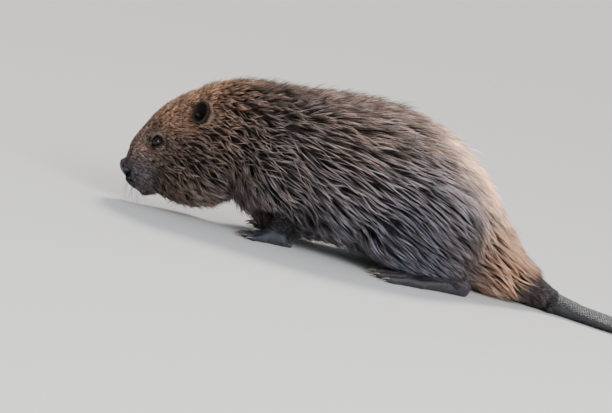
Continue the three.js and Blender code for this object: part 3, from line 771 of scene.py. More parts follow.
def blade_form(p):
    wide, deep = blade_size(p[:, 0])
    over, aside = p[:, 2] - deep * PALM_RISE, p[:, 1] - tail_middle(p[:, 0])
    beyond = p[:, 0] - TAIL["start"] - TAIL["length"] * BLADE_END
    before = TAIL["start"] - BLADE_SUNK - p[:, 0]
    ratio = np.sqrt((aside / wide) ** 2 + (over / deep) ** 2)
    return np.maximum((ratio - 1) * np.minimum(deep, BLADE_INSIDE), np.maximum(beyond, before))


tail_lo, tail_hi = np.array([725.0, -160, -5]), np.array([1000.0, 80, 45])
print("blade is", 2 * round(float(blade_size(np.array([860.0]))[0][0])), "mm wide")

# %% The whole skin as one field
SOLE = 0.4  # height of the soles over the ground
MARGIN = 14  # how far outside its box a part still blends
ROUGH_WALL = 3.0  # extra thickness of the ears in the first mesh


def whole_form(wall):
    """Everything that is skin. A first mesh is made with thicker ears, which it can't miss."""
    joined, cut = [], []  # form, box, blend
    for name, side in SIDES.items():
        joined += [(*paw_form("fore", name), 8), (*paw_form("hind", name), 10), (*ear_form(side, wall), 5)]
        joined += [(*lid_form(side), 7), (*nostril_rim(side), 4), (*lip_form(side), 9), (*heel_form(name), 9)]
        cut += [(*slit_form(side), 1.2), (*nostril_form(side), 1.4)]
    joined += [(pad_form, nose_at - 18, nose_at + 18, 9), (blade_form, tail_lo, tail_hi, 6)]
    face = np.array([-20, -60, -5]), np.array([70, 40, 60])
    cut = [(chin_form, *face, 13)] + cut + [(*mouth_form(flesh_form), 2.5)]
    cut += [(arc_form([np.array(v, float) for v in PHILTRUM], 1.2), *face, 2)]

    def form(p):
        d = flesh_form(p)
        for part, lo, hi, blend in joined:
            near = np.all((p > lo - MARGIN) & (p < hi + MARGIN), axis=1)
            if near.any():
                d[near] = smooth_min(d[near], part(p[near]), blend)
        for part, lo, hi, blend in cut:
            near = np.all((p > lo) & (p < hi), axis=1)
            if near.any():
                d[near] = smooth_max(d[near], -part(p[near]), blend)
        return np.maximum(d, SOLE - p[:, 2])

    return form


rough_form, skin_form = whole_form(ROUGH_WALL), whole_form(0.0)
print("skin at the tip of the nose:", round(float(skin_form(np.array([[0.0, -14, 50]]))[0]), 1), "mm")

# %% [markdown]
# ## From field to mesh
#
# A field can be meshed with metaballs or a volume modifier, but both give every place the same fineness. Here
# the mesh is made by surface nets: a box grid whose lines lie closer at the head and the feet, one point in
# each cell that the skin passes through, and one quad across each grid edge that it crosses. The points then
# slide onto the true surface, and edges are halved where the lids, the nostrils and the ears need it.

# %% A field on a grid
BLOCK = 4  # grid cells along each side of a block, of which only the corners are worked out first
NEAR_BLOCKS = 1.6  # a block this near to the surface is worked out in full


def spaced(*stretches):
    """Grid lines: each stretch is its end and the spacing up to it."""
    lines = [stretches[0]]
    for end, gap in stretches[1:]:
        count = math.ceil((end - lines[-1]) / gap)
        lines += list(np.linspace(lines[-1], end, count + 1)[1:])
    return np.array(lines, float)


def two_ends(axis):
    """Two views of a grid: all but the last layer along an axis, and all but the first."""
    views = []
    for cut in (slice(None, -1), slice(1, None)):
        view = [slice(None)] * 3
        view[axis] = cut
        views.append(tuple(view))
    return views


def grid_values(form, axes):
    """The field at every grid point: worked out near the surface, and only its sign elsewhere."""
    picks = [np.append(np.arange(0, len(a) - 1, BLOCK), len(a) - 1) for a in axes]
    nodes = np.stack(np.meshgrid(*[a[i] for a, i in zip(axes, picks)], indexing="ij"), axis=-1)
    coarse = form(nodes.reshape(-1, 3)).reshape(nodes.shape[:3])
    low, high, near = coarse, coarse, np.abs(coarse)
    for k in range(3):
        a, b = two_ends(k)
        low, high = np.minimum(low[a], low[b]), np.maximum(high[a], high[b])
        near = np.minimum(near[a], near[b])
    gap = max(np.diff(a).max() for a in axes) * BLOCK
    active = (low * high < 0) | (near < NEAR_BLOCKS * gap)
    index = [np.minimum(np.arange(len(a)) // BLOCK, len(i) - 2) for a, i in zip(axes, picks)]
    value = coarse[:-1, :-1, :-1][np.ix_(*index)].copy()
    grown = active.copy()
    for k in range(3):
        grown |= np.roll(grown, 1, axis=k)
    spots = np.argwhere(grown[np.ix_(*index)])
    points = np.stack([a[spots[:, k]] for k, a in enumerate(axes)], axis=1)
    value[tuple(spots.T)] = form(points)
    return value


print("grid lines:", spaced(0, (8, 4), (20, 6)))

# %% A net over the zero
SQUARE = ((0, 0), (1, 0), (1, 1), (0, 1))  # the four cells round a grid edge


def sums_at(index, values, count):
    """For each point, the sum of the values that go to it."""
    return np.stack([np.bincount(index, column, count) for column in values.T], axis=1)


def net(form, axes):
    """One point in each cell that the surface passes through, and a quad across each edge that it crosses."""
    value = grid_values(form, axes)
    shape = value.shape
    total, hits = np.zeros((value.size, 3)), np.zeros(value.size)
    crossings = []
    for m in range(3):
        a, b = (value[view] for view in two_ends(m))
        spots = np.argwhere((a < 0) != (b < 0))
        va, vb = a[tuple(spots.T)], b[tuple(spots.T)]
        point = np.stack([axes[k][spots[:, k]] for k in range(3)], axis=1)
        point[:, m] += va / (va - vb) * (axes[m][spots[:, m] + 1] - axes[m][spots[:, m]])
        v, w = np.roll(np.eye(3, dtype=int), -m - 1, axis=0)[:2]
        cells = [np.ravel_multi_index((spots - i * v - j * w).T, shape) for i, j in SQUARE]
        for cell in cells:
            hits += np.bincount(cell, minlength=value.size)
            total += sums_at(cell, point, value.size)
        quad = np.stack(cells, axis=1)
        crossings.append(np.where((va < 0)[:, None], quad, quad[:, ::-1]))
    used = np.flatnonzero(hits)
    number = np.zeros(value.size, int)
    number[used] = np.arange(len(used))
    quads = number[np.vstack(crossings)]
    triangles = np.vstack([quads[:, [0, 1, 2]], quads[:, [0, 2, 3]]])
    return total[used] / hits[used, None], triangles


ball = net(ellipsoid((0, 0, 0), (10,) * 3), [spaced(-11, (12, 2))] * 3)
print("a ball of 10 mm takes", len(ball[1]), "triangles")

# %% Even out and refine
def edges_of(triangles):
    """Each edge once, and for each triangle the numbers of its three edges."""
    pairs = np.sort(np.vstack([triangles[:, [0, 1]], triangles[:, [1, 2]], triangles[:, [2, 0]]]), axis=1)
    key, index = np.unique(pairs[:, 0] * (triangles.max() + 1) + pairs[:, 1], return_inverse=True)
    edges = np.stack([key // (triangles.max() + 1), key % (triangles.max() + 1)], axis=1)
    return edges, index.reshape(3, -1).T


def relax(points, triangles, rounds, strength=0.5):
    """Evens the mesh out along the surface."""
    one, two = edges_of(triangles)[0].T
    count = np.bincount(np.append(one, two), minlength=len(points))[:, None]
    for _ in range(rounds):
        around = sums_at(one, points[two], len(points)) + sums_at(two, points[one], len(points))
        points = points + strength * (around / np.maximum(count, 1) - points)
    return points


def refine(points, triangles, longest):
    """Halves every edge that is longer than wanted at its place, and splits the triangles to suit."""
    edges, own = edges_of(triangles)
    middle = (points[edges[:, 0]] + points[edges[:, 1]]) / 2
    long = np.linalg.norm(points[edges[:, 0]] - points[edges[:, 1]], axis=1) > longest(middle)
    new = np.full(len(edges), -1)
    new[long] = len(points) + np.arange(long.sum())
    points = np.vstack([points, middle[long]])
    split = new[own]
    for _ in range(2):
        most = np.sum(split >= 0, axis=1)
        wrong = ((most == 1) & (split[:, 0] < 0)) | ((most == 2) & (split[:, 2] >= 0))
        triangles[wrong] = np.roll(triangles[wrong], -1, axis=1)
        split[wrong] = np.roll(split[wrong], -1, axis=1)
    (a, b, c), (ab, bc, ca) = triangles.T, split.T
    most = np.sum(split >= 0, axis=1)
    pieces = [triangles[most == 0]]
    one, two, three = most == 1, most == 2, most == 3
    pieces += [np.stack(t, axis=1)[one] for t in ((a, ab, c), (ab, b, c))]
    pieces += [np.stack(t, axis=1)[two] for t in ((a, ab, c), (ab, bc, c), (ab, b, bc))]
    pieces += [np.stack(t, axis=1)[three] for t in ((a, ab, ca), (ab, b, bc), (ca, bc, c), (ab, bc, ca))]
    return points, np.vstack(pieces)


print("with edges under 2 mm it takes", len(refine(*ball, lambda p: np.full(len(p), 2.0))[1]))

# %% Mesh the skin
# Where the mesh is finest: middle, radius, longest edge.
FINE_SPOTS = [(nose_at, 22, 1.2), (np.array([42, -12, 34]), 40, 2.4)]
for side, (root, _, opens, _) in EARS.items():
    FINE_SPOTS += [(eye_axes(side)[0], 15, 0.9), (root + opens * 10, 30, 1.5)]
FINE_BELOW = 5  # places whose longest edge is under this are evened out again
# Lines of the grid along x, y and z: where they start, then the end of each stretch and its spacing.
GRID = [
    (-20, (140, 2.9), (205, 4.4), (318, 2.8), (425, 5), (608, 3), (740, 4.8), (1004, 4.2)),
    (-176, (176, 3.25)),
    (-6, (30, 2.4), (284, 3.45)),
]
COARSER = 1
REFINE_ROUNDS = 3


def wanted_edge(p):
    longest = np.full(len(p), 99.0)
    for middle, radius, edge in FINE_SPOTS:
        near = np.linalg.norm(p - middle, axis=1) < radius
        longest[near] = np.minimum(longest[near], edge)
    return longest


def make_skin():
    axes = [spaced(start, *[(end, gap * COARSER) for end, gap in stretches]) for start, *stretches in GRID]
    points, triangles = net(rough_form, axes)
    points = settle(rough_form, relax(points, triangles, 2), 2)
    for _ in range(REFINE_ROUNDS):
        points, triangles = refine(points, triangles, wanted_edge)
        fine = wanted_edge(points) < FINE_BELOW
        for _ in range(2):
            points[fine] = relax(points, triangles, 1, 0.45)[fine]
            points[fine] = settle(skin_form, points[fine], 2, 0.8)
    return points, triangles


skin_points, skin_triangles = make_skin()
print("skin:", len(skin_points), "points,", len(skin_triangles), "triangles")

# %% Blender meshes from arrays
def make_object(name, points, faces, attributes=None, uv=None):
    """A mesh object from points in millimetres and faces of one size. Attributes are per point."""
    mesh = bpy.data.meshes.new(name)
    mesh.vertices.add(len(points))
    mesh.vertices.foreach_set("co", to_frame(points).astype(np.float32).ravel())
    mesh.loops.add(faces.size)
    mesh.loops.foreach_set("vertex_index", faces.astype(np.int32).ravel())
    mesh.polygons.add(len(faces))
    mesh.polygons.foreach_set("loop_start", np.arange(0, faces.size, faces.shape[1], dtype=np.int32))
    mesh.polygons.foreach_set("use_smooth", np.ones(len(faces), bool))
    if uv is not None:
        layer = mesh.uv_layers.new(name="OFBake")
        layer.data.foreach_set("uv", uv[faces.ravel()].astype(np.float32).ravel())
    for key, values in (attributes or {}).items():
        color = values.ndim == 2
        data = mesh.attributes.new(key, "FLOAT_COLOR" if color else "FLOAT", "POINT")
        if color:
            values = np.hstack([values, np.ones((len(values), 1))])
        data.data.foreach_set("color" if color else "value", values.astype(np.float32).ravel())
    mesh.update(calc_edges=True)
    return add_object(name, mesh)


def finish_piece(piece, material, slot, *nodes):
    piece.data.materials.append(material)
    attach(piece, "root")
    if nodes:
        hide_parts(*nodes)


# %% [markdown]
# ## Markings
#
# The coat is warm brown on the crown, grey brown on the wet flanks and nearly black on the legs and belly.
# Its pale rump is painted rim light: the sun from behind shining through the hair. The blue grey of the
# flanks, hips and thighs is partly a painted cool sheen of the sky. It could be painted on the skin, but skin
# and coat have to agree, so one table of places gives the colour to both, painted light and all. A place on
# the body takes the mean of the colours round it, weighted by how near they are.

# %% Places of the coat
# Place (x, distance from the middle, z), how far it reaches, colour as sRGB, then the coat: length, width of
# a lock, how firmly its tips meet, how high it lies in the coat's depth, width of a hair, fall in degrees
# under the level, how much the locks stray, stiffness.
PLACES = {
    "nose bridge": ((20, 0, 92), 18,      (108, 88, 78),   (7.5, 2.2, 0.45, 1.0, 0.5, -4, 0.1, 0)),
    "muzzle side": ((26, 28, 46), 20,     (76, 72, 76),    (6.5, 2.2, 0.45, 0.85, 0.5, 14, 0.15, 0)),
    "chin":        ((56, 16, 14), 20,     (76, 68, 64),    (12, 2.6, 0.5, 1.9, 0.55, 52, 0.35, 0)),
    "eye":         ((45, 36, 112), 13,    (98, 82, 72),    (6.5, 2.2, 0.45, 0.9, 0.45, 2, 0.15, 0)),
    "forehead":    ((72, 0, 178), 30,     (127, 98, 80),   (13, 2.6, 0.5, 1.0, 0.5, -6, 0.2, 0.1)),
    "crown":       ((112, 0, 218), 30,    (146, 111, 86),  (16, 2.8, 0.55, 1.0, 0.55, -4, 0.25, 0.1)),
    "lip":         ((34, 20, 20), 12,     (70, 66, 66),    (9.5, 2.2, 0.4, 3.2, 0.5, 66, 0.35, 0)),
    "ear":         ((100, 60, 182), 12,   (108, 86, 70),   (6, 2.0, 0.4, 1.0, 0.45, 0, 0.3, 0)),
    "cheek":       ((84, 46, 78), 28,     (88, 74, 66),    (19, 2.4, 0.85, 0.95, 0.65, 8, 0.65, 0.1)),
    "throat":      ((112, 20, 36), 34,    (100, 85, 76),   (32, 2.7, 0.88, 1.8, 0.7, 50, 0.6, 0.85)),
    "behind ear":  ((144, 60, 172), 28,   (127, 104, 90),  (22, 2.8, 0.8, 0.95, 0.7, 8, 0.6, 0.1)),
    "neck":        ((178, 78, 120), 40,   (99, 86, 80),    (34, 2.7, 0.9, 1.0, 0.75, 18, 0.65, 0.1)),
    "nape":        ((190, 0, 248), 40,    (86, 69, 60),    (28, 2.8, 0.85, 1.0, 0.75, 3, 0.5, 0.3)),
    "shoulder":    ((250, 104, 130), 50,  (111, 101, 98),  (42, 3.1, 0.92, 1.0, 0.8, 18, 0.42, 0.05)),
    "back":        ((350, 0, 265), 70,    (97, 79, 69),    (44, 3.1, 0.9, 1.05, 0.82, 8, 0.34, 0.28)),
    "upper flank": ((352, 104, 206), 44,  (142, 120, 107), (49, 3.4, 0.92, 1.0, 0.85, 13, 0.3, 0.15)),
    # Flank and low flank: their blue grey is partly a painted cool sheen of the sky on the wet hair.
    "flank":       ((380, 135, 130), 70,  (126, 120, 125), (54, 3.6, 0.93, 1.0, 0.88, 17, 0.24, 0)),
    "low flank":   ((400, 120, 60), 50,   (96, 94, 101),   (42, 3.6, 0.92, 0.95, 0.88, 24, 0.2, 0)),
    "belly":       ((360, 30, 12), 60,    (70, 63, 62),    (32, 6, 0.7, 0.7, 1.1, 6, 0.2, 0)),
    "chest":       ((226, 0, 30), 46,     (84, 73, 67),    (34, 3.2, 0.88, 1.4, 0.8, 48, 0.45, 0.75)),
    # The rump is painted pale: rim light from the sun behind, shining through the hair over its warm brown.
    "rump":        ((540, 0, 205), 60,    (234, 196, 166), (50, 3.2, 0.9, 1.08, 0.82, 15, 0.4, 0.4)),
    # Hip and thigh: their blue grey is partly a painted cool sheen of the sky on the wet hair.
    "hip":         ((500, 130, 150), 45,  (126, 118, 122), (50, 3.6, 0.92, 1.0, 0.88, 26, 0.22, 0)),
    "groin":       ((432, 138, 84), 22,   (76, 71, 74),    (36, 3.6, 0.92, 0.85, 0.85, 30, 0.2, 0)),
    "thigh":       ((510, 140, 80), 45,   (88, 88, 101),   (32, 3.4, 0.92, 0.9, 0.8, 34, 0.16, 0)),
    "haunch":      ((574, 122, 84), 32,   (126, 106, 96),  (46, 3.6, 0.93, 1.1, 0.88, 36, 0.3, 0.5)),
    # Rump end and tail head: their tan is partly painted light from behind, shining through the hair.
    "rump end":    ((628, 50, 96), 30,    (192, 152, 122), (66, 3.1, 0.96, 1.4, 0.75, 30, 0.2, 0.95)),
    "tail head":   ((660, 0, 92), 30,     (156, 124, 100), (48, 3.0, 0.94, 1.3, 0.75, 22, 0.2, 0.8)),
    "tail root":   ((704, 20, 32), 30,    (62, 55, 53),    (14, 2.8, 0.6, 0.85, 0.6, 12, 0.2, 0)),
    "tail end":    ((752, 30, 22), 14,    (58, 55, 56),    (6, 2.2, 0.4, 0.5, 0.45, 6, 0.1, 0)),
    "upper arm":   ((284, 98, 62), 26,    (62, 56, 56),    (13, 3.2, 0.6, 0.85, 0.7, 55, 0.15, 0)),
    "forearm":     ((282, 74, 34), 28,    (53, 54, 59),    (9, 3, 0.5, 0.8, 0.6, 70, 0.12, 0)),
    "shank":       ((562, 108, 30), 30,   (60, 57, 64),    (9, 3, 0.5, 0.7, 0.6, 12, 0.12, 0)),
}
BARE = {
    # colour of each naked part, and how wet and shiny it is
    "hand": ((42, 43, 50), 1.0),
    "foot": ((43, 39, 43), 1.0),
    "nose": ((50, 50, 57), 0.9),
    "ear rim": ((66, 55, 48), 0.2),
    # The inside of the ear is partly the skin's own dark colour and partly painted shade, darkest deep in the
    # cup.
    "ear": ((27, 24, 23), 0.3),
    # Near-black: the lids' own dark margin, and painted shade in the slit round the eyeball and in the
    # nostrils.
    "lid and painted shade": ((15, 13, 13), 0.12),
    "tail": ((56, 56, 59), 0.5),
}
print(len(PLACES), "places and", len(BARE), "naked parts")

# %% Colour and coat at a place
PLAN_FIELDS = ["length", "lock", "clump", "lift", "hair", "fall", "stray", "stiff"]
HEAD_LEAN = (0, 216), (-14, 0)  # from x to x, the middle of the head runs from y to y
PATCH_SHADE, SPOT_SHADE, TINT = 0.18, 0.14, 0.13  # how much lightness and warmth vary from place to place
place_at = np.array([v[0] for v in PLACES.values()], float)
place_reach = np.array([v[1] for v in PLACES.values()], float)
place_color = np.array([v[2] for v in PLACES.values()], float) / 255
place_plan = np.array([v[3] for v in PLACES.values()], float)


def to_linear(color):
    color = np.asarray(color, float)
    return np.where(color < 0.04045, color / 12.92, ((color + 0.055) / 1.055) ** 2.4)


def place_weights(p):
    aside = np.abs(p[:, 1] - np.interp(p[:, 0], *HEAD_LEAN))
    near = np.stack([p[:, 0], aside, p[:, 2]], axis=1)
    far = np.sum(((near[:, None] - place_at) / place_reach[:, None]) ** 2, axis=2)
    weight = np.exp(-0.5 * (far - far.min(axis=1, keepdims=True)))
    return weight / weight.sum(axis=1, keepdims=True)


def ripple(p, scale, seed):
    """Smooth noise from -1 to 1: a few waves that run in different ways."""
    rng = np.random.default_rng(seed)
    ways = unit(rng.normal(size=(7, 3))) * rng.uniform(0.6, 1.7, (7, 1)) / scale * 2 * math.pi
    return np.sin(p @ ways.T + rng.uniform(0, 2 * math.pi, 7)).sum(axis=1) / 3.2


def coat_plan(p):
    weight = place_weights(p)
    return dict(zip(PLAN_FIELDS, (weight @ place_plan).T))


def coat_color(p):
    """Linear colour of the coat's tips."""
    base = to_linear(place_weights(p) @ place_color)
    tint = TINT * ripple(p, 11, 31)[:, None] * np.array([1, 0, -1])
    shade = 1 + PATCH_SHADE * ripple(p, 45, 3) + SPOT_SHADE * ripple(p, 14, 4)
    return base * shade[:, None] * (1 + tint)


print("colour of the flank:", np.round(coat_color(np.array([[380.0, -130, 130]]))[0], 3))

# %% Bare parts of the skin
UNDER_COAT, UNDER_WET = 0.28, 0.2  # how light the hidden skin is beside the coat over it, and how wet


def bare_share(p, color):
    """How bare the skin is, its colour there, and how wet it is."""
    bare, wet = np.zeros(len(p)), np.full(len(p), UNDER_WET)

    def put(share, name):
        nonlocal bare, color, wet
        share = np.clip(share, 0, 1)
        own_color, own_wet = BARE[name]
        color = color * (1 - share[:, None]) + to_linear(np.array(own_color) / 255) * share[:, None]
        wet = wet * (1 - share) + own_wet * share
        bare = np.maximum(bare, share)

    def near_only(form, lo, hi):
        near = np.all((p > lo - 5) & (p < hi + 5), axis=1)
        value = np.full(len(p), 99.0)
        value[near] = form(p[near])
        return value

    for leg, name in (("fore", "hand"), ("hind", "foot")):
        for side in SIDES:
            put(1.4 - near_only(*paw_form(leg, side)) / 2.5, name)
    for name in SIDES:
        put(1.5 - (np.linalg.norm(p - heel_ball(name), axis=1) - HEEL_RADIUS) / 3, "foot")
    for side in SIDES.values():
        inside = np.clip(1 + ear_hollow(p, side, 0) / 1.2, 0, 1)
        put(inside, "ear rim")
        # deeper in the cup the colour turns darker: painted shade in the hollow, over the ear's dark skin
        put(inside * (1.0 - in_ear(p, side)[3]) / 0.25, "ear")
        # near-black lids round the slit: their own dark margin, and painted shade between lid and eyeball
        put(2.6 - near_only(*slit_form(side)) / 1.3, "lid and painted shade")
        put(1.6 - near_only(*nostril_rim(side)) / 1.2, "nose")
        # the nostrils are painted near-black: painted shade in the holes
        put(2 - near_only(*nostril_form(side)) / 1.0, "lid and painted shade")
    put(1.4 - pad_form(p) / 3 - np.clip((p[:, 0] - 12) / 5, 0, 2), "nose")
    put((p[:, 0] - TAIL["start"] + 8) / 14, "tail")
    return bare, color, wet


skin_bare, skin_color, skin_wet = bare_share(skin_points, coat_color(skin_points) * UNDER_COAT)
print("bare part of the skin:", round(float(skin_bare.mean()), 2))

# %% [markdown]
# ## Materials
#
# Every finish is a node tree on the Principled shader. Wet hide, fur, horn and the film over an eye differ in
# how they shine more than in colour. What several of them need is a node group: mottling, which breaks up an
# even colour at two sizes, and pebbling, which gives leather its grain. The groups put out plain values, and
# the shader stays in each material.

# %% Node helpers and groups
def add_node(tree, kind, inputs=None, **settings):
    """A node with its settings. An input is a plain value, or the output of another node."""
    node = tree.nodes.new(kind)
    for key, value in settings.items():
        setattr(node, key, value)
    for key, value in (inputs or {}).items():
        if isinstance(value, bpy.types.NodeSocket):
            tree.links.new(value, node.inputs[key])
        else:
            node.inputs[key].default_value = value
    return node


def new_group(name, inputs, output, kind="ShaderNodeTree"):
    """A node group, its inputs and its end. Each input is a name, a kind of socket and a value."""
    group = bpy.data.node_groups.new(name, kind)
    for key, socket_kind, value in inputs:
        socket = group.interface.new_socket(key, in_out="INPUT", socket_type="NodeSocket" + socket_kind)
        if value is not None:
            socket.default_value = value
    group.interface.new_socket(output[0], in_out="OUTPUT", socket_type="NodeSocket" + output[1])
    return group, add_node(group, "NodeGroupInput").outputs, add_node(group, "NodeGroupOutput").inputs[0]


def math_node(tree, operation, a, b):
    return add_node(tree, "ShaderNodeMath", {0: a, 1: b}, operation=operation).outputs[0]


def texture_node(tree, kind, vector, scale, **settings):
    return add_node(tree, kind, {"Vector": vector, "Scale": scale}, **settings).outputs


def mottle_group():
    """Varies round 1, in patches and in spots a fifth as large."""
    inputs = [("Vector", "Vector", None), ("Size", "Float", 60.0), ("Amount", "Float", 0.3)]
    group, given, end = new_group("mottle", inputs, ("Factor", "Float"))
    place, size = given["Vector"], given["Size"]
    coarse = texture_node(group, "ShaderNodeTexNoise", place, size)
    fine = texture_node(group, "ShaderNodeTexNoise", place, math_node(group, "MULTIPLY", size, 5.0))
    both = math_node(group, "ADD", coarse["Fac"], fine["Fac"])
    swing = math_node(group, "MULTIPLY", math_node(group, "SUBTRACT", both, 1.0), given["Amount"])
    group.links.new(math_node(group, "ADD", math_node(group, "MULTIPLY", swing, 2.0), 1.0), end)
    return group


def pebble_group():
    """Small round cells with a finer grain on them."""
    inputs = [("Vector", "Vector", None), ("Size", "Float", 500.0)]
    group, given, end = new_group("pebble", inputs, ("Height", "Float"))
    place, size = given["Vector"], given["Size"]
    cells = texture_node(group, "ShaderNodeTexVoronoi", place, size, feature="DISTANCE_TO_EDGE")
    grain = texture_node(group, "ShaderNodeTexNoise", place, math_node(group, "MULTIPLY", size, 2.0))
    edge = math_node(group, "MINIMUM", math_node(group, "MULTIPLY", cells["Distance"], 4.0), 1.0)
    group.links.new(math_node(group, "ADD", edge, math_node(group, "MULTIPLY", grain["Fac"], 0.4)), end)
    return group


MOTTLE, PEBBLE = mottle_group(), pebble_group()
print("groups:", MOTTLE.name, "and", PEBBLE.name)

# %% Parts of a finish
def place_group(tree, group, vector, **values):
    return add_node(tree, "ShaderNodeGroup", {"Vector": vector, **values}, node_tree=group).outputs[0]


def new_material(name, roughness, **constants):
    """A material with its shader, and the two things most trees start from."""
    material = bpy.data.materials.new(name)
    material.use_nodes = True
    tree = material.node_tree
    shader = tree.nodes["Principled BSDF"]
    shader.inputs["Roughness"].default_value = roughness
    for key, value in constants.items():
        shader.inputs[key.replace("_", " ")].default_value = value
    return material, tree, shader, add_node(tree, "ShaderNodeTexCoord").outputs["Object"]


def attribute(tree, name, output="Fac"):
    return add_node(tree, "ShaderNodeAttribute", attribute_name=name).outputs[output]


def scaled(tree, vector, factor):
    """A vector or a colour times a factor."""
    return add_node(tree, "ShaderNodeVectorMath", {0: vector, "Scale": factor}, operation="SCALE").outputs[0]


def mixed_color(tree, one, two, factor):
    inputs = {"A": (*one, 1), "B": (*two, 1), "Factor": factor}
    return add_node(tree, "ShaderNodeMix", inputs, data_type="RGBA").outputs["Result"]


def add_bump(tree, shader, height, depth, strength):
    bump = add_node(tree, "ShaderNodeBump", {"Height": height, "Distance": depth, "Strength": strength})
    tree.links.new(bump.outputs["Normal"], shader.inputs["Normal"])


print("materials so far:", len(bpy.data.materials))

# %% Finishes
HIDE_DRY, HIDE_SMOOTHED, HIDE_SHINE = 0.85, 0.52, 0.5  # roughness, how much water takes off it, wet shine
HIDE_BUMP, HIDE_BUMP_STRENGTH = 0.00028, 0.7
# Dark roots are partly painted shade deep in the coat, between the locks.
FUR_RAMP = {"From Min": 0.1, "From Max": 0.9, "To Min": 0.1, "To Max": 1.9}  # from root to tip, dark to light


def skin_material():
    """Dark hide: matt under the coat, moist and pebbled where it is bare."""
    material, tree, shader, place = new_material("beaver_skin", 0.5)
    wet = attribute(tree, "wet")
    mottle = place_group(tree, MOTTLE, place, Size=90.0, Amount=0.35)
    color = scaled(tree, attribute(tree, "marking_and_painted_light", "Color"), mottle)
    tree.links.new(color, shader.inputs["Base Color"])
    rough = math_node(tree, "SUBTRACT", HIDE_DRY, math_node(tree, "MULTIPLY", wet, HIDE_SMOOTHED))
    tree.links.new(math_node(tree, "MULTIPLY", wet, HIDE_SHINE), shader.inputs["Specular IOR Level"])
    tree.links.new(math_node(tree, "MULTIPLY", rough, mottle), shader.inputs["Roughness"])
    folds = add_node(tree, "ShaderNodeTexNoise", {"Vector": place, "Scale": 170.0, "Distortion": 1.5})
    pebbles = place_group(tree, PEBBLE, place, Size=1000.0)
    height = math_node(tree, "ADD", pebbles, math_node(tree, "MULTIPLY", folds.outputs["Fac"], 6.0))
    add_bump(tree, shader, height, HIDE_BUMP, HIDE_BUMP_STRENGTH)
    return material


def fur_material(name, roughness, shine):
    """Wet hair: dark root (partly painted shade), own colour towards the tip, each a little lighter or darker.
    """
    material, tree, shader, place = new_material(name, roughness, Specular_IOR_Level=shine)
    inputs = {"Value": attribute(tree, "along"), **FUR_RAMP}
    ramp = add_node(tree, "ShaderNodeMapRange", inputs, interpolation_type="SMOOTHSTEP")
    mottle = place_group(tree, MOTTLE, place, Size=220.0, Amount=0.25)
    tone = math_node(tree, "MULTIPLY", ramp.outputs[0], attribute(tree, "tone"))
    color = scaled(tree, attribute(tree, "marking_and_painted_light", "Color"), math_node(tree, "MULTIPLY", tone, mottle))
    tree.links.new(color, shader.inputs["Base Color"])
    tree.links.new(math_node(tree, "MULTIPLY", mottle, roughness), shader.inputs["Roughness"])
    return material


skin_finish = skin_material()
# Roughness and shine of the fur: the head has dried, the body and the legs are wet.
FUR = {"head_fur": (0.6, 0.25), "body_fur": (0.42, 0.5), "leg_fur": (0.4, 0.5)}
fur_finishes = {name: fur_material(name, *look) for name, look in FUR.items()}
print(len(bpy.data.materials), "finishes so far")

# %% The skin piece
FLESH = ["head", "muzzle", "lower_jaw", "nose", "neck", "trunk", "tail_root", "tail_blade"]
PAIRED_FLESH = ("ear", "upper_arm", "forearm", "hand", "thigh", "shank", "foot")
FLESH += [f"{part}_{side}" for part in PAIRED_FLESH for side in SIDES]
skin = make_object("skin", skin_points, skin_triangles, {"marking_and_painted_light": skin_color, "wet": skin_wet})
finish_piece(skin, skin_finish, "bare_skin", *FLESH)
print("the skin stands for", len(FLESH), "solids")

# %% [markdown]
# ## Eyes
#
# The eye is a small dark ball that sits half sunk between the lids. A plain sphere would look like a bead, so
# the ball is turned on a lathe: the clear front stands a little proud of it, and rings from the pupil outward
# carry the colour.

# %% Eyeballs
# An eyeball and a claw are both rows of rings with a point at each end.
def volume(points, faces):
    a, b, c = points[faces].transpose(1, 0, 2)
    return np.sum(a * np.cross(b, c)) / 6


def ring_faces(points, rings, segments):
    """Faces over rings of points. The last two points close it: one at the first ring, one at the last."""
    faces = []
    for i in range(rings - 1):
        for k in range(segments):
            a, b = i * segments + k, i * segments + (k + 1) % segments
            faces += [(a, b, b + segments), (a, b + segments, a + segments)]
    last, pole = (rings - 1) * segments, rings * segments
    for k in range(segments):
        after = (k + 1) % segments
        faces += [(pole, after, k), (pole + 1, last + k, last + after)]
    faces = np.array(faces)
    return faces if volume(points - points.mean(0), faces) > 0 else faces[:, ::-1]


EYE_RINGS, EYE_SEGMENTS = 20, 32
CORNEA_ANGLE, CORNEA_RISE = 0.72, 0.7
# Iris and pupil: how far round from the front, as a share of half a turn, and the colour there.
EYE_COLORS = [
    (0.0, (0.003, 0.003, 0.004)), (0.13, (0.004, 0.003, 0.004)), (0.15, (0.022, 0.012, 0.008)),
    (0.235, (0.012, 0.007, 0.005)), (0.26, (0.02, 0.017, 0.016)),
]


def eyeball(name, side):
    middle, looks, forward, up = eye_axes(side)
    turns = np.linspace(0, math.pi, EYE_RINGS + 1)[1:-1]
    bulge = EYE_RADIUS + CORNEA_RISE * np.clip(1 - (turns / CORNEA_ANGLE) ** 2, 0, 1)
    around = np.arange(EYE_SEGMENTS) / EYE_SEGMENTS * 2 * math.pi
    disc = np.outer(np.cos(around), forward) + np.outer(np.sin(around), up)
    rings = [middle + looks * r * math.cos(t) + r * math.sin(t) * disc for t, r in zip(turns, bulge)]
    poles = [middle + looks * (EYE_RADIUS + CORNEA_RISE), middle - looks * EYE_RADIUS]
    points = np.vstack(rings + poles)
    ring = np.concatenate([np.repeat(turns, EYE_SEGMENTS), [0, math.pi]]) / math.pi
    return make_object(name, points, ring_faces(points, len(rings), EYE_SEGMENTS), {"ring": ring})


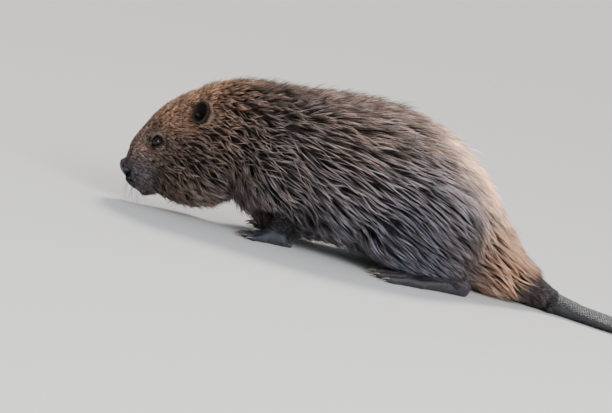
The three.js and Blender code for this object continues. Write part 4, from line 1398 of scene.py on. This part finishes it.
def eye_material():
    """Almost black, with a dark brown iris that shows only close by, under a wet film."""
    material, tree, shader, place = new_material("eye", 0.05, Specular_IOR_Level=0.3)
    ramp = add_node(tree, "ShaderNodeValToRGB", {"Fac": attribute(tree, "ring")})
    stops = ramp.color_ramp.elements
    stops[0].position, stops[1].position = EYE_COLORS[0][0], EYE_COLORS[1][0]
    for position, _ in EYE_COLORS[2:]:
        stops.new(position)
    for stop, (_, color) in zip(stops, EYE_COLORS):
        stop.color = (*color, 1)
    mottle = place_group(tree, MOTTLE, place, Size=900.0, Amount=0.4)
    tree.links.new(scaled(tree, ramp.outputs["Color"], mottle), shader.inputs["Base Color"])
    return material


eye_finish = eye_material()
for name, side in SIDES.items():
    finish_piece(eyeball(f"eyeball_{name}", side), eye_finish, "eye", f"eye_{name}")
print("eyeballs", 2 * EYE_RADIUS, "mm across")

# %% [markdown]
# ## Claws
#
# Each digit ends in a claw: a horn sheath, round above and hollowed below, that curves down to a blunt tip.
# One claw could be modelled and copied. But each has its own length and way, so one function sweeps a
# shrinking section along an arc and a loop makes twenty, with the five of each foot in one piece.

# %% Twenty claws
CLAW_RINGS, CLAW_SEGMENTS = 9, 12
CLAW_RISE, CLAW_BEND = 0.12, math.radians(38)  # the way it starts, over the level, and how far it bends down
CLAW_WIDE, CLAW_BLUNT = 0.66, 0.25  # width beside the digit's, and half width of the tip
CLAW_HOLLOW = 0.55  # depth of the underside beside that of the top
CLAW_SUNK, CLAW_LOWEST = 1.5, 0.2


def claw_mesh(base, forward, outward, radius, length):
    """One claw from its base, which sits inside the end of the digit."""
    share = np.linspace(0, 1, CLAW_RINGS)
    angle = CLAW_RISE - CLAW_BEND * share
    step = length / (CLAW_RINGS - 1)
    run = np.concatenate([[0], np.cumsum(np.cos(angle[:-1]) * step)])
    rise = np.concatenate([[0], np.cumsum(np.sin(angle[:-1]) * step)])
    width = radius * CLAW_WIDE * (1 - share**1.7) ** 0.8 + CLAW_BLUNT
    depth = width * 0.85
    around = np.arange(CLAW_SEGMENTS) / CLAW_SEGMENTS * 2 * math.pi
    hollow = np.where(np.sin(around) < 0, CLAW_HOLLOW, 1.0)
    up = np.array([0, 0, 1.0])
    rings = []
    for r, z, w, d, a in zip(run, rise, width, depth, angle):
        over = up * math.cos(a) - forward * math.sin(a)
        aside = np.outer(np.cos(around) * w, outward)
        rings.append(base + forward * r + up * z + aside + np.outer(np.sin(around) * hollow * d, over))
    points = np.vstack(rings + [base, base + forward * (run[-1] + 0.3) + up * rise[-1]])
    tip = np.concatenate([np.repeat(share, CLAW_SEGMENTS), [0, 1]])
    return points, ring_faces(points, CLAW_RINGS, CLAW_SEGMENTS), tip


def foot_claws(leg, name):
    kind = FEET[leg]
    heel, forward, outward = paw_axes(leg, name)
    parts, count = [], 0
    for root_out, end_out, end, radius, length in kind["digits"]:
        lean = (end_out - root_out) / (end - kind["digit_root"])
        way = unit(forward + outward * lean)
        base = heel + forward * (end - CLAW_SUNK) + outward * end_out + np.array([0, 0, radius * 1.05])
        aside = unit(outward - way * (outward @ way))
        points, faces, tip = claw_mesh(base, way, aside, radius, length + CLAW_SUNK + 1)
        points[:, 2] = np.maximum(points[:, 2], CLAW_LOWEST)
        parts.append((points, faces + count, tip))
        count += len(points)
    return [np.concatenate(column) for column in zip(*parts)]


def claw_material():
    """Dark horn, paler and smoother towards the worn tip, with fine lengthwise lines."""
    material, tree, shader, place = new_material("claw_horn", 0.36, Coat_Weight=0.25, Coat_Roughness=0.25)
    worn = math_node(tree, "POWER", attribute(tree, "tip"), 1.4)
    horn = mixed_color(tree, (0.028, 0.022, 0.018), (0.16, 0.125, 0.09), worn)
    mottle = place_group(tree, MOTTLE, place, Size=300.0, Amount=0.5)
    tree.links.new(scaled(tree, horn, mottle), shader.inputs["Base Color"])
    inputs = {"Vector": place, "Scale": 420.0, "Distortion": 3.0}
    lines = add_node(tree, "ShaderNodeTexWave", inputs, bands_direction="Y")
    add_bump(tree, shader, lines.outputs["Fac"], 0.00012, 0.5)
    return material


claw_finish = claw_material()
for leg, part in (("fore", "hand"), ("hind", "foot")):
    for name in SIDES:
        points, faces, tip = foot_claws(leg, name)
        piece = make_object(f"claws_{part}_{name}", points, faces, {"tip": tip})
        finish_piece(piece, claw_finish, "claw_horn", *[f"{part}_claw_{name}_{i}" for i in range(1, 6)])
print("claws: 4 pieces of 5")

# %% [markdown]
# ## Scales of the tail
#
# The blade is covered with small leathery scales in slanting rows. A bump in the skin would look flat from
# the side. This is a shape that repeats over a surface, so Geometry Nodes make it: a bed of points, one for
# each scale, carries the way the skin faces there, and a low dome is put on each, turned to lie flat and with
# its size a little varied.

# %% Bed of the scales
SCALE_LONG, SCALE_WIDE, SCALE_HIGH = 5.4, 4.4, 0.9
SCALE_ROW = 0.78  # from one row to the next, as a share of a scale's length
SCALE_RIM = 1.5  # the edge of the blade has no scales
# Near the root scales go all round. From x to x they draw back to where the skin faces up or down this much.
SCALE_TURN = (TAIL["start"] + 20, TAIL["start"] + 110), (0, 0.55)
SCALE_LOWEST = 1.2


def scale_bed():
    """Points in offset rows over both faces of the blade, with the way out of the skin at each."""
    rows = np.arange(TAIL["start"] - 2, TAIL["start"] + TAIL["length"] - SCALE_RIM, SCALE_LONG * SCALE_ROW)
    spots = []
    for i, x in enumerate(rows):
        wide = blade_size(np.array([x]))[0][0]
        count = int(2 * wide / SCALE_WIDE)
        offset = (np.arange(-count // 2, count // 2 + 1) + 0.5 * (i % 2)) * SCALE_WIDE
        offset = offset[np.abs(offset) < wide - SCALE_RIM]
        spots.append(np.stack([np.full(len(offset), x), tail_middle(x) + offset], axis=1))
    flat = np.vstack(spots)
    wide, deep = blade_size(flat[:, 0])
    share = np.clip(1 - ((flat[:, 1] - tail_middle(flat[:, 0])) / wide) ** 2, 0.01, 1)
    beds = []
    for face in (1, -1):
        height = deep * PALM_RISE + face * deep * np.sqrt(share)
        beds.append(np.column_stack([flat, height]))
    points = settle(skin_form, np.vstack([b[b[:, 2] > SCALE_LOWEST] for b in beds]), 3)
    out = unit(slope(skin_form, points)[1])
    flat = np.abs(out[:, 2]) > np.interp(points[:, 0], *SCALE_TURN)
    return points[flat], out[flat]


bed_points, bed_normals = scale_bed()
bed = make_object("tail_scales", bed_points, np.zeros((0, 3), int))
normal_data = bed.data.attributes.new("out", "FLOAT_VECTOR", "POINT")
normal_data.data.foreach_set("vector", bed_normals.astype(np.float32).ravel())
print("bed of", len(bed_points), "scales")

# %% Scale finish
# Painted shade in the gaps between the scales, and a painted wet shine on their crowns.
SCALE_GAP, SCALE_CROWN = (0.016, 0.015, 0.016), (0.052, 0.052, 0.056)


def scale_material():
    """Grey leathery horn: painted shade in the gaps, and a painted wet shine on the crowns."""
    material, tree, shader, place = new_material("tail_scale", 0.5, Specular_IOR_Level=0.35)
    mottle = place_group(tree, MOTTLE, place, Size=70.0, Amount=0.6)
    horn = mixed_color(tree, SCALE_GAP, SCALE_CROWN, attribute(tree, "crown"))
    tree.links.new(scaled(tree, horn, mottle), shader.inputs["Base Color"])
    tree.links.new(math_node(tree, "MULTIPLY", mottle, 0.5), shader.inputs["Roughness"])
    add_bump(tree, shader, place_group(tree, PEBBLE, place, Size=1400.0), 0.00015, 0.5)
    return material


scale_finish = scale_material()
print("scale finish:", len(scale_finish.node_tree.nodes), "nodes")

# %% Scale tree
SCALE_SEED = 5
SCALE_SIZES = {"Long": SCALE_LONG * MM, "Wide": SCALE_WIDE * MM, "High": SCALE_HIGH * MM, "Variation": 0.16}
DOME, DOME_CROWN = {"Segments": 6, "Rings": 4, "Radius": 0.56}, 1.9


def scale_tree():
    """A dome on every point of the bed, as long, wide and high as the inputs say."""
    inputs = [("Geometry", "Geometry", None)] + [(key, "Float", value) for key, value in SCALE_SIZES.items()]
    inputs += [("Seed", "Int", SCALE_SEED), ("Finish", "Material", None)]
    tree, given, end = new_group("tail_scale_rows", inputs, ("Geometry", "Geometry"), "GeometryNodeTree")

    def add(kind, inputs=None, **settings):
        return add_node(tree, kind, inputs, **settings).outputs

    # a dome, and how high each place on it is
    place = add("ShaderNodeSeparateXYZ", {0: add("GeometryNodeInputPosition")[0]})
    height = add("ShaderNodeMath", {0: place["Z"], 1: DOME_CROWN}, operation="MULTIPLY", use_clamp=True)
    inputs = {"Geometry": add("GeometryNodeMeshUVSphere", DOME)["Mesh"], "Name": "crown", "Value": height[0]}
    dome = add("GeometryNodeStoreNamedAttribute", inputs, data_type="FLOAT")
    dome = add("GeometryNodeSetShadeSmooth", {"Geometry": dome["Geometry"]})
    # its size, a little varied
    size = add("ShaderNodeCombineXYZ", {"X": given["Long"], "Y": given["Wide"], "Z": given["High"]})
    least = math_node(tree, "SUBTRACT", 1.0, given["Variation"])
    most = math_node(tree, "ADD", 1.0, given["Variation"])
    random = add("FunctionNodeRandomValue", {2: least, 3: most, "Seed": given["Seed"]}, data_type="FLOAT")
    # one on each point, turned to lie flat
    way = add("GeometryNodeInputNamedAttribute", {"Name": "out"}, data_type="FLOAT_VECTOR")
    inputs = {"Primary Axis": way[0], "Secondary Axis": (1, TAIL["swing"], 0)}
    turn = add("FunctionNodeAxesToRotation", inputs, primary_axis="Z", secondary_axis="X")
    inputs = {"Points": given["Geometry"], "Instance": dome["Geometry"], "Rotation": turn[0]}
    scales = add("GeometryNodeInstanceOnPoints", {**inputs, "Scale": scaled(tree, size[0], random[1])})
    scales = add("GeometryNodeRealizeInstances", {0: scales["Instances"]})
    scales = add("GeometryNodeSetMaterial", {"Geometry": scales[0], "Material": given["Finish"]})
    tree.links.new(scales[0], end)
    return tree


def grow_nodes(piece, tree, **values):
    """Runs a Geometry Nodes tree on a piece and keeps the result as a plain mesh."""
    modifier = piece.modifiers.new("nodes", "NODES")
    modifier.node_group = tree
    names = {s.name: s.identifier for s in tree.interface.items_tree if s.in_out == "INPUT"}
    for key, value in values.items():
        modifier[names[key]] = value
    shown = piece.evaluated_get(bpy.context.evaluated_depsgraph_get())
    mesh = bpy.data.meshes.new_from_object(shown)
    piece.modifiers.remove(modifier)
    piece.data = mesh
    return piece


tail_scales = grow_nodes(bed, scale_tree(), Seed=SCALE_SEED, Finish=scale_finish)
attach(tail_scales, "root")
print("scales:", len(tail_scales.data.polygons), "faces")

# %% [markdown]
# ## The coat
#
# Hair could be particles or curves, but those are lost when the model leaves Blender, so every hair here is a
# thin closed solid. A wet coat isn't even: hairs that stand near each other stick together into pointed
# locks, and each row of locks lies over the next. So the coat is laid in three steps. First, flow lines are
# walked over the skin in the lie of the coat. Then each line gathers the hairs around it, which start apart,
# rise through the depth of the coat and meet at its tips. Last, the hairs are given their section.

# %% Roots of the hair
rng = np.random.default_rng(11)
SHORT, LONG = 15, 22  # lengths between which short fur passes into locks
BAREST = 0.5  # no hair grows where the skin is more bare than this


def corner_normals(points, triangles):
    a, b, c = points[triangles].transpose(1, 0, 2)
    face = np.cross(b - a, c - a)
    return unit(sum(sums_at(corner, face, len(points)) for corner in triangles.T))


skin_normals = corner_normals(skin_points, skin_triangles)


def scatter(count, wanted):
    """Random places on the skin, with the wanted density at each, and the way out of the skin there."""
    a, b, c = skin_points[skin_triangles].transpose(1, 0, 2)
    area = np.linalg.norm(np.cross(b - a, c - a), axis=1) / 2
    weight = area * wanted((a + b + c) / 3) * (1 - skin_bare[skin_triangles].mean(axis=1))
    pick = rng.choice(len(skin_triangles), count, p=weight / weight.sum())
    u, v = rng.random((2, count, 1))
    flip = u + v > 1
    u, v = np.where(flip, 1 - u, u), np.where(flip, 1 - v, v)
    share = np.hstack([1 - u - v, u, v])
    corners = skin_triangles[pick]
    keep = np.sum(skin_bare[corners] * share, axis=1) < BAREST
    place = np.sum(skin_points[corners] * share[..., None], axis=1)
    out = unit(np.sum(skin_normals[corners] * share[..., None], axis=1))
    return place[keep], out[keep]


def search_tree(places):
    tree = kdtree.KDTree(len(places))
    for i, place in enumerate(places):
        tree.insert(place, i)
    tree.balance()
    return tree


def thin_out(places, spacing):
    """Keeps only places that are no nearer to each other than the spacing there."""
    tree = search_tree(places)
    kept = np.ones(len(places), bool)
    for i, place in enumerate(places):
        if kept[i]:
            for _, other, _ in tree.find_range(place, spacing[i]):
                if other > i:
                    kept[other] = False
    return kept


def lay_of_coat(p, fall, stray, own_down, own_aside):
    """The way the hair would lie in the air: back, and down by the fall, with the locks' own straying."""
    down = np.radians(fall + 17 * stray * ripple(p, 60, 7)) + own_down
    aside = 0.3 * stray * ripple(p, 45, 9) + own_aside
    return np.stack([np.cos(down), aside, -np.sin(down)], axis=1)


def along_skin(way, out):
    return unit(way - out * np.sum(way * out, axis=1, keepdims=True))


print("way out of the skin at", len(skin_normals), "points")

# %% Flow lines
GUIDE_POINTS = 11
GUIDE_REACH = 1.75  # how long a line is beside the hair


def flow_lines(roots, plan):
    """Walks each root over the flesh: places, ways out, ways along and depth of the coat at each step."""
    step = (plan["length"] * GUIDE_REACH / (GUIDE_POINTS - 1))[:, None]
    own_down = plan["stray"] * rng.normal(0, 0.5, len(roots))
    own_aside = plan["stray"] * rng.normal(0, 0.35, len(roots))
    rows = []
    p, way = roots, None
    for _ in range(GUIDE_POINTS):
        value, grow = slope(flesh_form, p)
        out = unit(grow)
        here = coat_plan(p)
        lay = along_skin(lay_of_coat(p, here["fall"], here["stray"], own_down, own_aside), out)
        way = lay if way is None else along_skin(0.5 * way + 0.5 * lay, out)
        p = p - value[:, None] * out
        rows.append((p, out, way, -coat_form(p)[:, None]))
        p = p + way * step
    return [np.stack(column, axis=1) for column in zip(*rows)], step


def sample(values, at):
    """Values along flow lines, at fractional point numbers."""
    low = np.clip(at.astype(int), 0, GUIDE_POINTS - 2)
    share = np.clip(at - low, 0, 1)[..., None]
    rows = np.arange(len(values))[:, None]
    return values[rows, low] * (1 - share) + values[rows, low + 1] * share


print("a line of", GUIDE_POINTS, "points for each lock")

# %% Locks of hair
LOCK_RINGS = 4
LOCK_RUN = 0.55  # roots lie along the lock over this share of its length
LOCK_EVEN = 0.55  # how far the tips are brought to one place
STIFF_RISE = 0.3  # how steeply the stiff locks leave the body
SIDE_DROP = 0.3  # how much lower a lock is at its sides
ROOT_SUNK = 0.8
SHALLOWEST, DEEPEST = 0.8, 30  # depth of the coat
WILD_SHARE, WILD_CLUMP, WILD_LIFT = 0.09, 0.2, (0.1, 0.5)  # hairs that stand out of their lock
LOWEST, HIGHEST = 0.8, 282  # no stray hair stands above or hangs below this


def lock_hairs(guides, step, plan, per_lock):
    """Hairs that start side by side, rise through the coat and meet at the tip of their lock."""
    which = np.repeat(np.arange(len(step)), per_lock)
    own = {key: value[which] for key, value in plan.items()}
    n = len(which)
    run = LOCK_RUN * own["length"]
    start = rng.random(n) * run
    end = start + own["length"] * rng.uniform(0.8, 1.1, n)
    end += LOCK_EVEN * own["clump"] * (own["length"] + 0.5 * run - end)
    across = (rng.random(n) + rng.random(n) - 1) * own["lock"]
    wild = rng.random(n) < WILD_SHARE
    clump = np.where(wild, WILD_CLUMP, own["clump"])
    t = np.linspace(0, 1, LOCK_RINGS)[None, :]
    at = (start[:, None] + (end - start)[:, None] * t) / step[which]
    middle, out, way, depth = (sample(v[which], at) for v in guides)
    reach = ((end - start)[:, None] * t)[..., None]
    straight = middle[:, :1] + (way[:, :1] + out[:, :1] * STIFF_RISE) * reach
    middle = middle + (straight - middle) * own["stiff"][:, None, None]
    deep = np.clip(depth[..., 0], SHALLOWEST, DEEPEST)
    ridge = 1 - SIDE_DROP * (across / own["lock"]) ** 2
    lock_lift = rng.uniform(0.72, 1.06, len(step))[which]
    lift = own["lift"] * ridge * lock_lift * rng.uniform(0.86, 1.06, n)
    lift = lift + np.where(wild, rng.uniform(*WILD_LIFT, n), 0)
    height = deep * lift[:, None] * (1 - (1 - t) ** 2.0) - ROOT_SUNK * (1 - t)
    wave = np.sin(t * rng.uniform(2, 5, (n, 1)) + rng.uniform(0, 6.3, (n, 1))) * t * 0.35
    offset = across[:, None] * (1 - clump[:, None] * np.clip(t * 1.25, 0, 1) ** 1.1) + wave
    line = middle + np.cross(way, out) * offset[..., None] + out * height[..., None]
    line[..., 2] = np.clip(line[..., 2], LOWEST, HIGHEST)
    spread = 0.3 + 0.2 * np.clip((guides[0][:, 0, 2] - 120) / 100, 0, 1)
    lock_tone = np.clip(1 + spread * rng.normal(0, 1, len(step)), 0.3, 2.1)[which]
    # Hairs at the sides of a lock and in locks that lie low are darker: painted shade deeper in the coat.
    tone = np.clip(rng.normal(1, 0.18, n), 0.55, 1.7) * lock_tone * (0.5 + 0.55 * ridge * lock_lift)
    return keep_off(line), own["hair"] * rng.uniform(0.8, 1.2, n), tone, out[:, 0]


print("hairs of", LOCK_RINGS, "rings, none above", HIGHEST, "mm")

# %% Where the hair gives way
ARM_BARE = ellipsoid((272, 0, 26), (50, 140, 36))  # long locks end above the forearms
CHEST_HALF = 45  # but not between them
HEEL_CLEAR, EAR_CLEAR = 4, 0.6
SHORTEN = 0.72  # what a round leaves of a hair that is in the way


def keep_off(line):
    """Shortens each hair until it stays out of the ears and off the forearms and heels."""
    for _ in range(5):
        tip, middle = line[:, -1], line[:, -2]
        inside = np.zeros(len(line), bool)
        for side in SIDES.values():
            form, lo, hi = ear_form(side)
            near = np.flatnonzero(np.all((tip > lo) & (tip < hi), axis=1))
            for p in (tip[near], middle[near]):
                inside[near] |= np.maximum(-form(p), ear_hollow(p, side, 0)) > -EAR_CLEAR
        for name in SIDES:
            for p in (tip, middle):
                inside |= np.linalg.norm(p - heel_ball(name), axis=1) < HEEL_RADIUS + HEEL_CLEAR
        inside |= (np.abs(tip[:, 1]) > CHEST_HALF) & (ARM_BARE(tip) < 0)
        line[inside] = line[inside, :1] + (line[inside] - line[inside, :1]) * SHORTEN
    return line


print("hair keeps", HEEL_CLEAR, "mm off the heels")

# %% Short fur
RISE = 0.16, 0.62  # least and most that short hair stands up, as the sine of its angle
BENDS = 0.24, -0.26  # it stands up from the skin and then bends over
SHALLOW, DEEP = 1.2, 20
SHORT_SUNK, SHORT_LOWEST = 0.5, 0.6
TUFT, TUFT_REACH = 0.85, 2  # from one tuft to the next, and how far it draws hair, in widths of a lock
TUFT_BEND = np.array([0, 0.35, 1])  # how far it draws root, middle and tip


def short_hairs(roots, out, plan):
    """Short bent hairs that stand up from the skin by the depth of the coat, as far as they reach."""
    n = len(roots)
    jitter = 0.14 + 0.4 * plan["stray"]
    own_down, own_aside = jitter * rng.normal(0, 0.55, n), jitter * rng.normal(0, 0.4, n)
    way = along_skin(lay_of_coat(roots, plan["fall"], plan["stray"], own_down, own_aside), out)
    length = plan["length"] * rng.uniform(0.75, 1.12, n)
    depth = np.clip(-coat_form(roots), SHALLOW, DEEP)
    rise = np.clip(depth * plan["lift"] / length, *RISE) + 0.06 * ripple(roots, 8, 21)
    angle = np.arcsin(np.clip(rise + rng.normal(0, 0.05, n), 0.1, 0.8))
    line = [roots - out * SHORT_SUNK]
    for bend in BENDS:
        turn = (angle + bend)[:, None]
        line.append(line[-1] + (way * np.cos(turn) + out * np.sin(turn)) * (length / 2)[:, None])
    line, leader = gather(np.stack(line, axis=1), plan)
    line[..., 2] = np.maximum(line[..., 2], SHORT_LOWEST)
    tone = rng.normal(1, 0.32, n)[leader] * rng.normal(1, 0.18, n) + 0.15 * ripple(roots, 6, 22)
    return keep_off(line), plan["hair"] * rng.uniform(0.75, 1.25, n), np.clip(tone, 0.35, 2.2), out


def gather(line, plan):
    """Draws the tips of short hairs together into small tufts, each round one of the hairs."""
    root = line[:, 0]
    half = len(root) // 2
    leaders = np.flatnonzero(thin_out(root[:half], TUFT * plan["lock"][:half]))
    tree = search_tree(root[leaders])
    leader = leaders[[tree.find(place)[1] for place in root]]
    near = np.linalg.norm(root - root[leader], axis=1) < TUFT_REACH * plan["lock"]
    draw = (plan["clump"] * near)[:, None, None] * TUFT_BEND[None, :, None]
    return line + draw * (line[leader] - line), leader


print("short hair stands up", [round(math.degrees(math.asin(r))) for r in RISE], "degrees")

# %% Hair meshes
TAPER = [0, 0.35, 0.75, 1], [0.7, 1, 0.75, 0]  # share along a hair, share of its width
PATCH = 0.003  # side of a hair's patch on the unwrap


def hair_mesh(line, hair, tone, out):
    """Closed three-sided hairs from their middle lines."""
    n, rings = line.shape[:2]
    taper = np.interp(np.linspace(0, 1, rings), *TAPER)
    half = (hair[:, None] * 0.5 * taper)[..., None]
    way = unit(np.gradient(line, axis=1))
    side = unit(np.cross(way, out[:, None]))
    over = np.cross(side, way)
    corners = []
    for angle in (90, 210, 330):
        c, s = math.cos(math.radians(angle)), math.sin(math.radians(angle))
        corners.append((line + half * (side * c + over * s))[:, :-1])
    points = np.concatenate([np.stack(corners, 2).reshape(n, -1, 3), line[:, -1:]], axis=1)
    per = points.shape[1]
    faces = [(0, 1, 2)]
    for r in range(rings - 2):
        for k in range(3):
            a, b = 3 * r + k, 3 * r + (k + 1) % 3
            faces += [(a, a + 3, b + 3), (a, b + 3, b)]
    base = per - 4
    faces += [(base + k, per - 1, base + (k + 1) % 3) for k in range(3)]
    faces = (np.array(faces)[None] + (np.arange(n) * per)[:, None, None]).reshape(-1, 3)
    along = np.append(np.repeat(np.linspace(0, 1, rings)[:-1], 3), 1)
    return points.reshape(-1, 3), faces, np.tile(along, n), np.repeat(tone, per), per


def unwrap(root):
    """A place on an unwrap of the body: along it, and round it from the belly over the side to the back."""
    middle_z = np.interp(root[:, 0], STATIONS[:, 0], STATIONS[:, 2])
    turn = np.arctan2(root[:, 1] - body_middle(root[:, 0]), root[:, 2] - middle_z) / (2 * math.pi) + 0.5
    return np.stack([root[:, 0], turn], axis=1)


def patch_uv(root, along, per):
    """One small patch for each hair, at its root's place on the unwrap."""
    flat = unwrap(root)
    low, high = flat.min(0), flat.max(0)
    at = PATCH + (flat - low) / np.maximum(high - low, 1e-6) * (1 - 3 * PATCH)
    corner = np.tile(np.append(np.tile([0, 0.5, 1], (per - 1) // 3), 0.5), len(root))
    return np.repeat(at, per, axis=0) + PATCH * np.stack([along, corner], axis=1) * 0.98


straight = np.arange(LOCK_RINGS)[None, :, None] * np.array([1.0, 0, 0])
faces = hair_mesh(straight, np.ones(1), np.ones(1), np.array([[0, 0, 1.0]]))[1]
print("a hair of a lock takes", len(faces), "triangles")

# %% Lay the coat
LOCK_SPACING = 0.47  # as a share of the mean of a lock's width and length
LOCK_TRIES = 34_000
PER_LOCK = 8
SHORT_COUNT = 55_000
THICKER = 1.0


def lay_locks():
    def wanted(p):
        plan = coat_plan(p)
        return (plan["length"] > SHORT) / (plan["lock"] * plan["length"])

    roots, _ = scatter(LOCK_TRIES, wanted)
    plan = coat_plan(roots)
    fade = np.clip((plan["length"] - SHORT) / (LONG - SHORT), 0.3, 1)
    kept = thin_out(roots, LOCK_SPACING * np.sqrt(plan["lock"] * plan["length"] / fade))
    roots, plan = roots[kept], {key: value[kept] for key, value in plan.items()}
    guides, step = flow_lines(roots, plan)
    return lock_hairs(guides, step, plan, PER_LOCK), len(roots)


def lay_short_fur():
    def wanted(p):
        plan = coat_plan(p)
        fade = np.clip((LONG - plan["length"]) / (LONG - SHORT), 0, 1)
        return fade / (plan["hair"] * plan["length"])

    roots, out = scatter(SHORT_COUNT, wanted)
    return short_hairs(roots, out, coat_plan(roots))


locks, lock_count = lay_locks()
short_fur = lay_short_fur()
print(lock_count, "locks with", len(locks[0]), "hairs, and", len(short_fur[0]), "short hairs")

# %% [markdown]
# ## Ear hair and whiskers
#
# An ear has short soft hair on its back, which shows as a fringe round the rim. The whiskers are long stiff
# bristles in rows on the muzzle. The coat's plan can't place either of them, because they follow the ear and
# the muzzle, so each has a function of its own that gives the same kind of lines as the coat's.

# %% Fringe of the ears
FRINGE_COUNT = 1100
FRINGE_COLOR = (0.115, 0.075, 0.055)
FRINGE_LENGTH, FRINGE_WIDTH = (3.5, 6.5), (0.3, 0.45)
FRINGE_LEAN = 0.28, 0.22  # outwards: mean and spread


def lay_ear_fringe(side):
    """Short hair on the back of the ear, which stands past its rim."""
    root, back, opens, third = EARS[side]
    turn = rng.uniform(0, 2 * math.pi, FRINGE_COUNT)
    share = 1 - 0.75 * rng.random(FRINGE_COUNT) ** 1.6
    ring = EAR["radius"] * np.interp(share, *np.array(EAR_OUTSIDE).T) - 0.5
    b, w = np.cos(turn) * EAR["flat"] * ring, np.sin(turn) * ring
    o = EAR["height"] * (1 + EAR_RISE * b / EAR["radius"]) * share
    place = root + b[:, None] * back + w[:, None] * third + o[:, None] * opens
    out = unit(np.cos(turn)[:, None] * back + np.sin(turn)[:, None] * third)
    lean = rng.normal(*FRINGE_LEAN, FRINGE_COUNT)[:, None]
    way = unit(opens + lean * out + rng.normal(0, 0.12, (FRINGE_COUNT, 3)) + np.array([0.25, 0, -0.1]))
    length = rng.uniform(*FRINGE_LENGTH, FRINGE_COUNT)[:, None]
    line = np.stack([place, place + way * length * 0.5 + out * 0.3, place + way * length], axis=1)
    return line, rng.uniform(*FRINGE_WIDTH, FRINGE_COUNT), rng.uniform(0.6, 1.5, FRINGE_COUNT), out


fringe = [np.concatenate(column) for column in zip(*(lay_ear_fringe(side) for side in SIDES.values()))]
print(len(fringe[0]), "hairs round the ears")

# %% Whiskers
WHISKER_ROWS = ((31, 5), (37, 5), (43, 4), (49, 3))  # height of each row, and how many stand in it
WHISKER_SPAN = 15, 40  # a row runs from x to x
WHISKER_SPREAD, WHISKER_SUNK = 1.5, 0.6
WHISKER_LENGTH, WHISKER_WIDTH = (24, 46), (0.32, 0.5)
WHISKER_RINGS, WHISKER_LOWEST = 7, 1.0


def lay_whiskers(side):
    """Long stiff bristles in rows on the side of the muzzle, that bend back and hang."""
    roots = []
    for z, count in WHISKER_ROWS:
        for x in np.linspace(*WHISKER_SPAN, count):
            across, down = rng.uniform(-WHISKER_SPREAD, WHISKER_SPREAD, 2)
            roots.append(on_side(face_form, x + across, z + down, side, WHISKER_SUNK))
    roots = np.array(roots)
    n = len(roots)
    out = unit(slope(skin_form, roots)[1])
    length = rng.uniform(*WHISKER_LENGTH, n)
    lean = [rng.uniform(-0.25, 0.45, n), np.full(n, 0.3 * side), rng.uniform(-0.8, -0.3, n)]
    way = unit(0.55 * out + np.stack(lean, axis=1))
    hang = np.stack([rng.uniform(0.1, 0.5, n), np.zeros(n), rng.uniform(-0.7, -0.3, n)], axis=1)
    t = np.linspace(0, 1, WHISKER_RINGS)[None, :, None]
    line = roots[:, None] + length[:, None, None] * (way[:, None] * t + 0.5 * hang[:, None] * t * t)
    line[..., 2] = np.maximum(line[..., 2], WHISKER_LOWEST)
    return line, rng.uniform(*WHISKER_WIDTH, n), rng.uniform(0.8, 1.5, n), out


whiskers = [np.concatenate(column) for column in zip(*(lay_whiskers(side) for side in SIDES.values()))]
print(len(whiskers[0]), "whiskers")

# %% [markdown]
# ## Pieces of the coat
#
# A piece for each hair would be far too many, and a single piece would be too heavy. So the hairs are joined
# by layer, by part of the body, which has its own finish, and by side, and what is still too heavy is parted
# from front to back.

# %% Join the hairs into pieces
PIECE_LIMIT = 190_000  # triangles in one piece
HEAD_PLACES = ("nose bridge", "muzzle side", "lip", "chin", "eye", "forehead", "crown", "cheek", "ear")
LEG_PLACES = ("upper arm", "forearm", "shank", "thigh")
WHISKER_COLOR = (0.16, 0.14, 0.13)
OWN_COLORS = {"whiskers": WHISKER_COLOR, "ear_fringe": FRINGE_COLOR}


def coat_regions(root):
    """The part of the coat each hair stands in: 0 the head, 1 the body, 2 the legs."""
    weight = place_weights(root)
    names = list(PLACES)
    groups = [[names.index(name) for name in group] for group in (HEAD_PLACES, LEG_PLACES)]
    head, legs = (weight[:, group].sum(axis=1) for group in groups)
    return np.where(head > 0.5, 0, np.where(legs > 0.5, 2, 1))


def coat_pieces(layer, line):
    """Splits a layer into regions and sides, and these from front to back, until each is under the limit."""
    triangles = 6 * (line.shape[1] - 2) + 4
    root = line[:, 0]
    region, aside = coat_regions(root), root[:, 1] - body_middle(root[:, 0])
    for number, slot in enumerate(FUR):
        for name, side in SIDES.items():
            own = np.flatnonzero((aside * side > 0) & (region == number))
            if not len(own):
                continue
            own = own[np.argsort(root[own, 0])]
            parts = np.array_split(own, len(own) * triangles // PIECE_LIMIT + 1)
            for i, part in enumerate(parts):
                suffix = f"_{i + 1}" if len(parts) > 1 else ""
                yield f"{slot.split('_')[0]}_{layer}_{name}{suffix}", slot, part


layers = {"locks": locks, "short_fur": short_fur, "ear_fringe": fringe, "whiskers": whiskers}
total = 0
for layer, hairs in layers.items():
    for name, slot, part in coat_pieces(layer, hairs[0]):
        line, hair, tone, out = (values[part] for values in hairs)
        root = line[:, 0]
        points, faces, along, tones, per = hair_mesh(line, hair * THICKER, tone, out)
        color = np.tile(OWN_COLORS[layer], (len(root), 1)) if layer in OWN_COLORS else coat_color(root)
        marking_and_painted_light = np.repeat(color, per, axis=0)
        uv = patch_uv(root, along, per)
        piece = make_object(name, points, faces, {"along": along, "tone": tones, "marking_and_painted_light": marking_and_painted_light}, uv)
        finish_piece(piece, fur_finishes[slot], slot)
        total += len(faces)
        print(name, len(faces), "triangles")
print("coat:", total, "triangles")
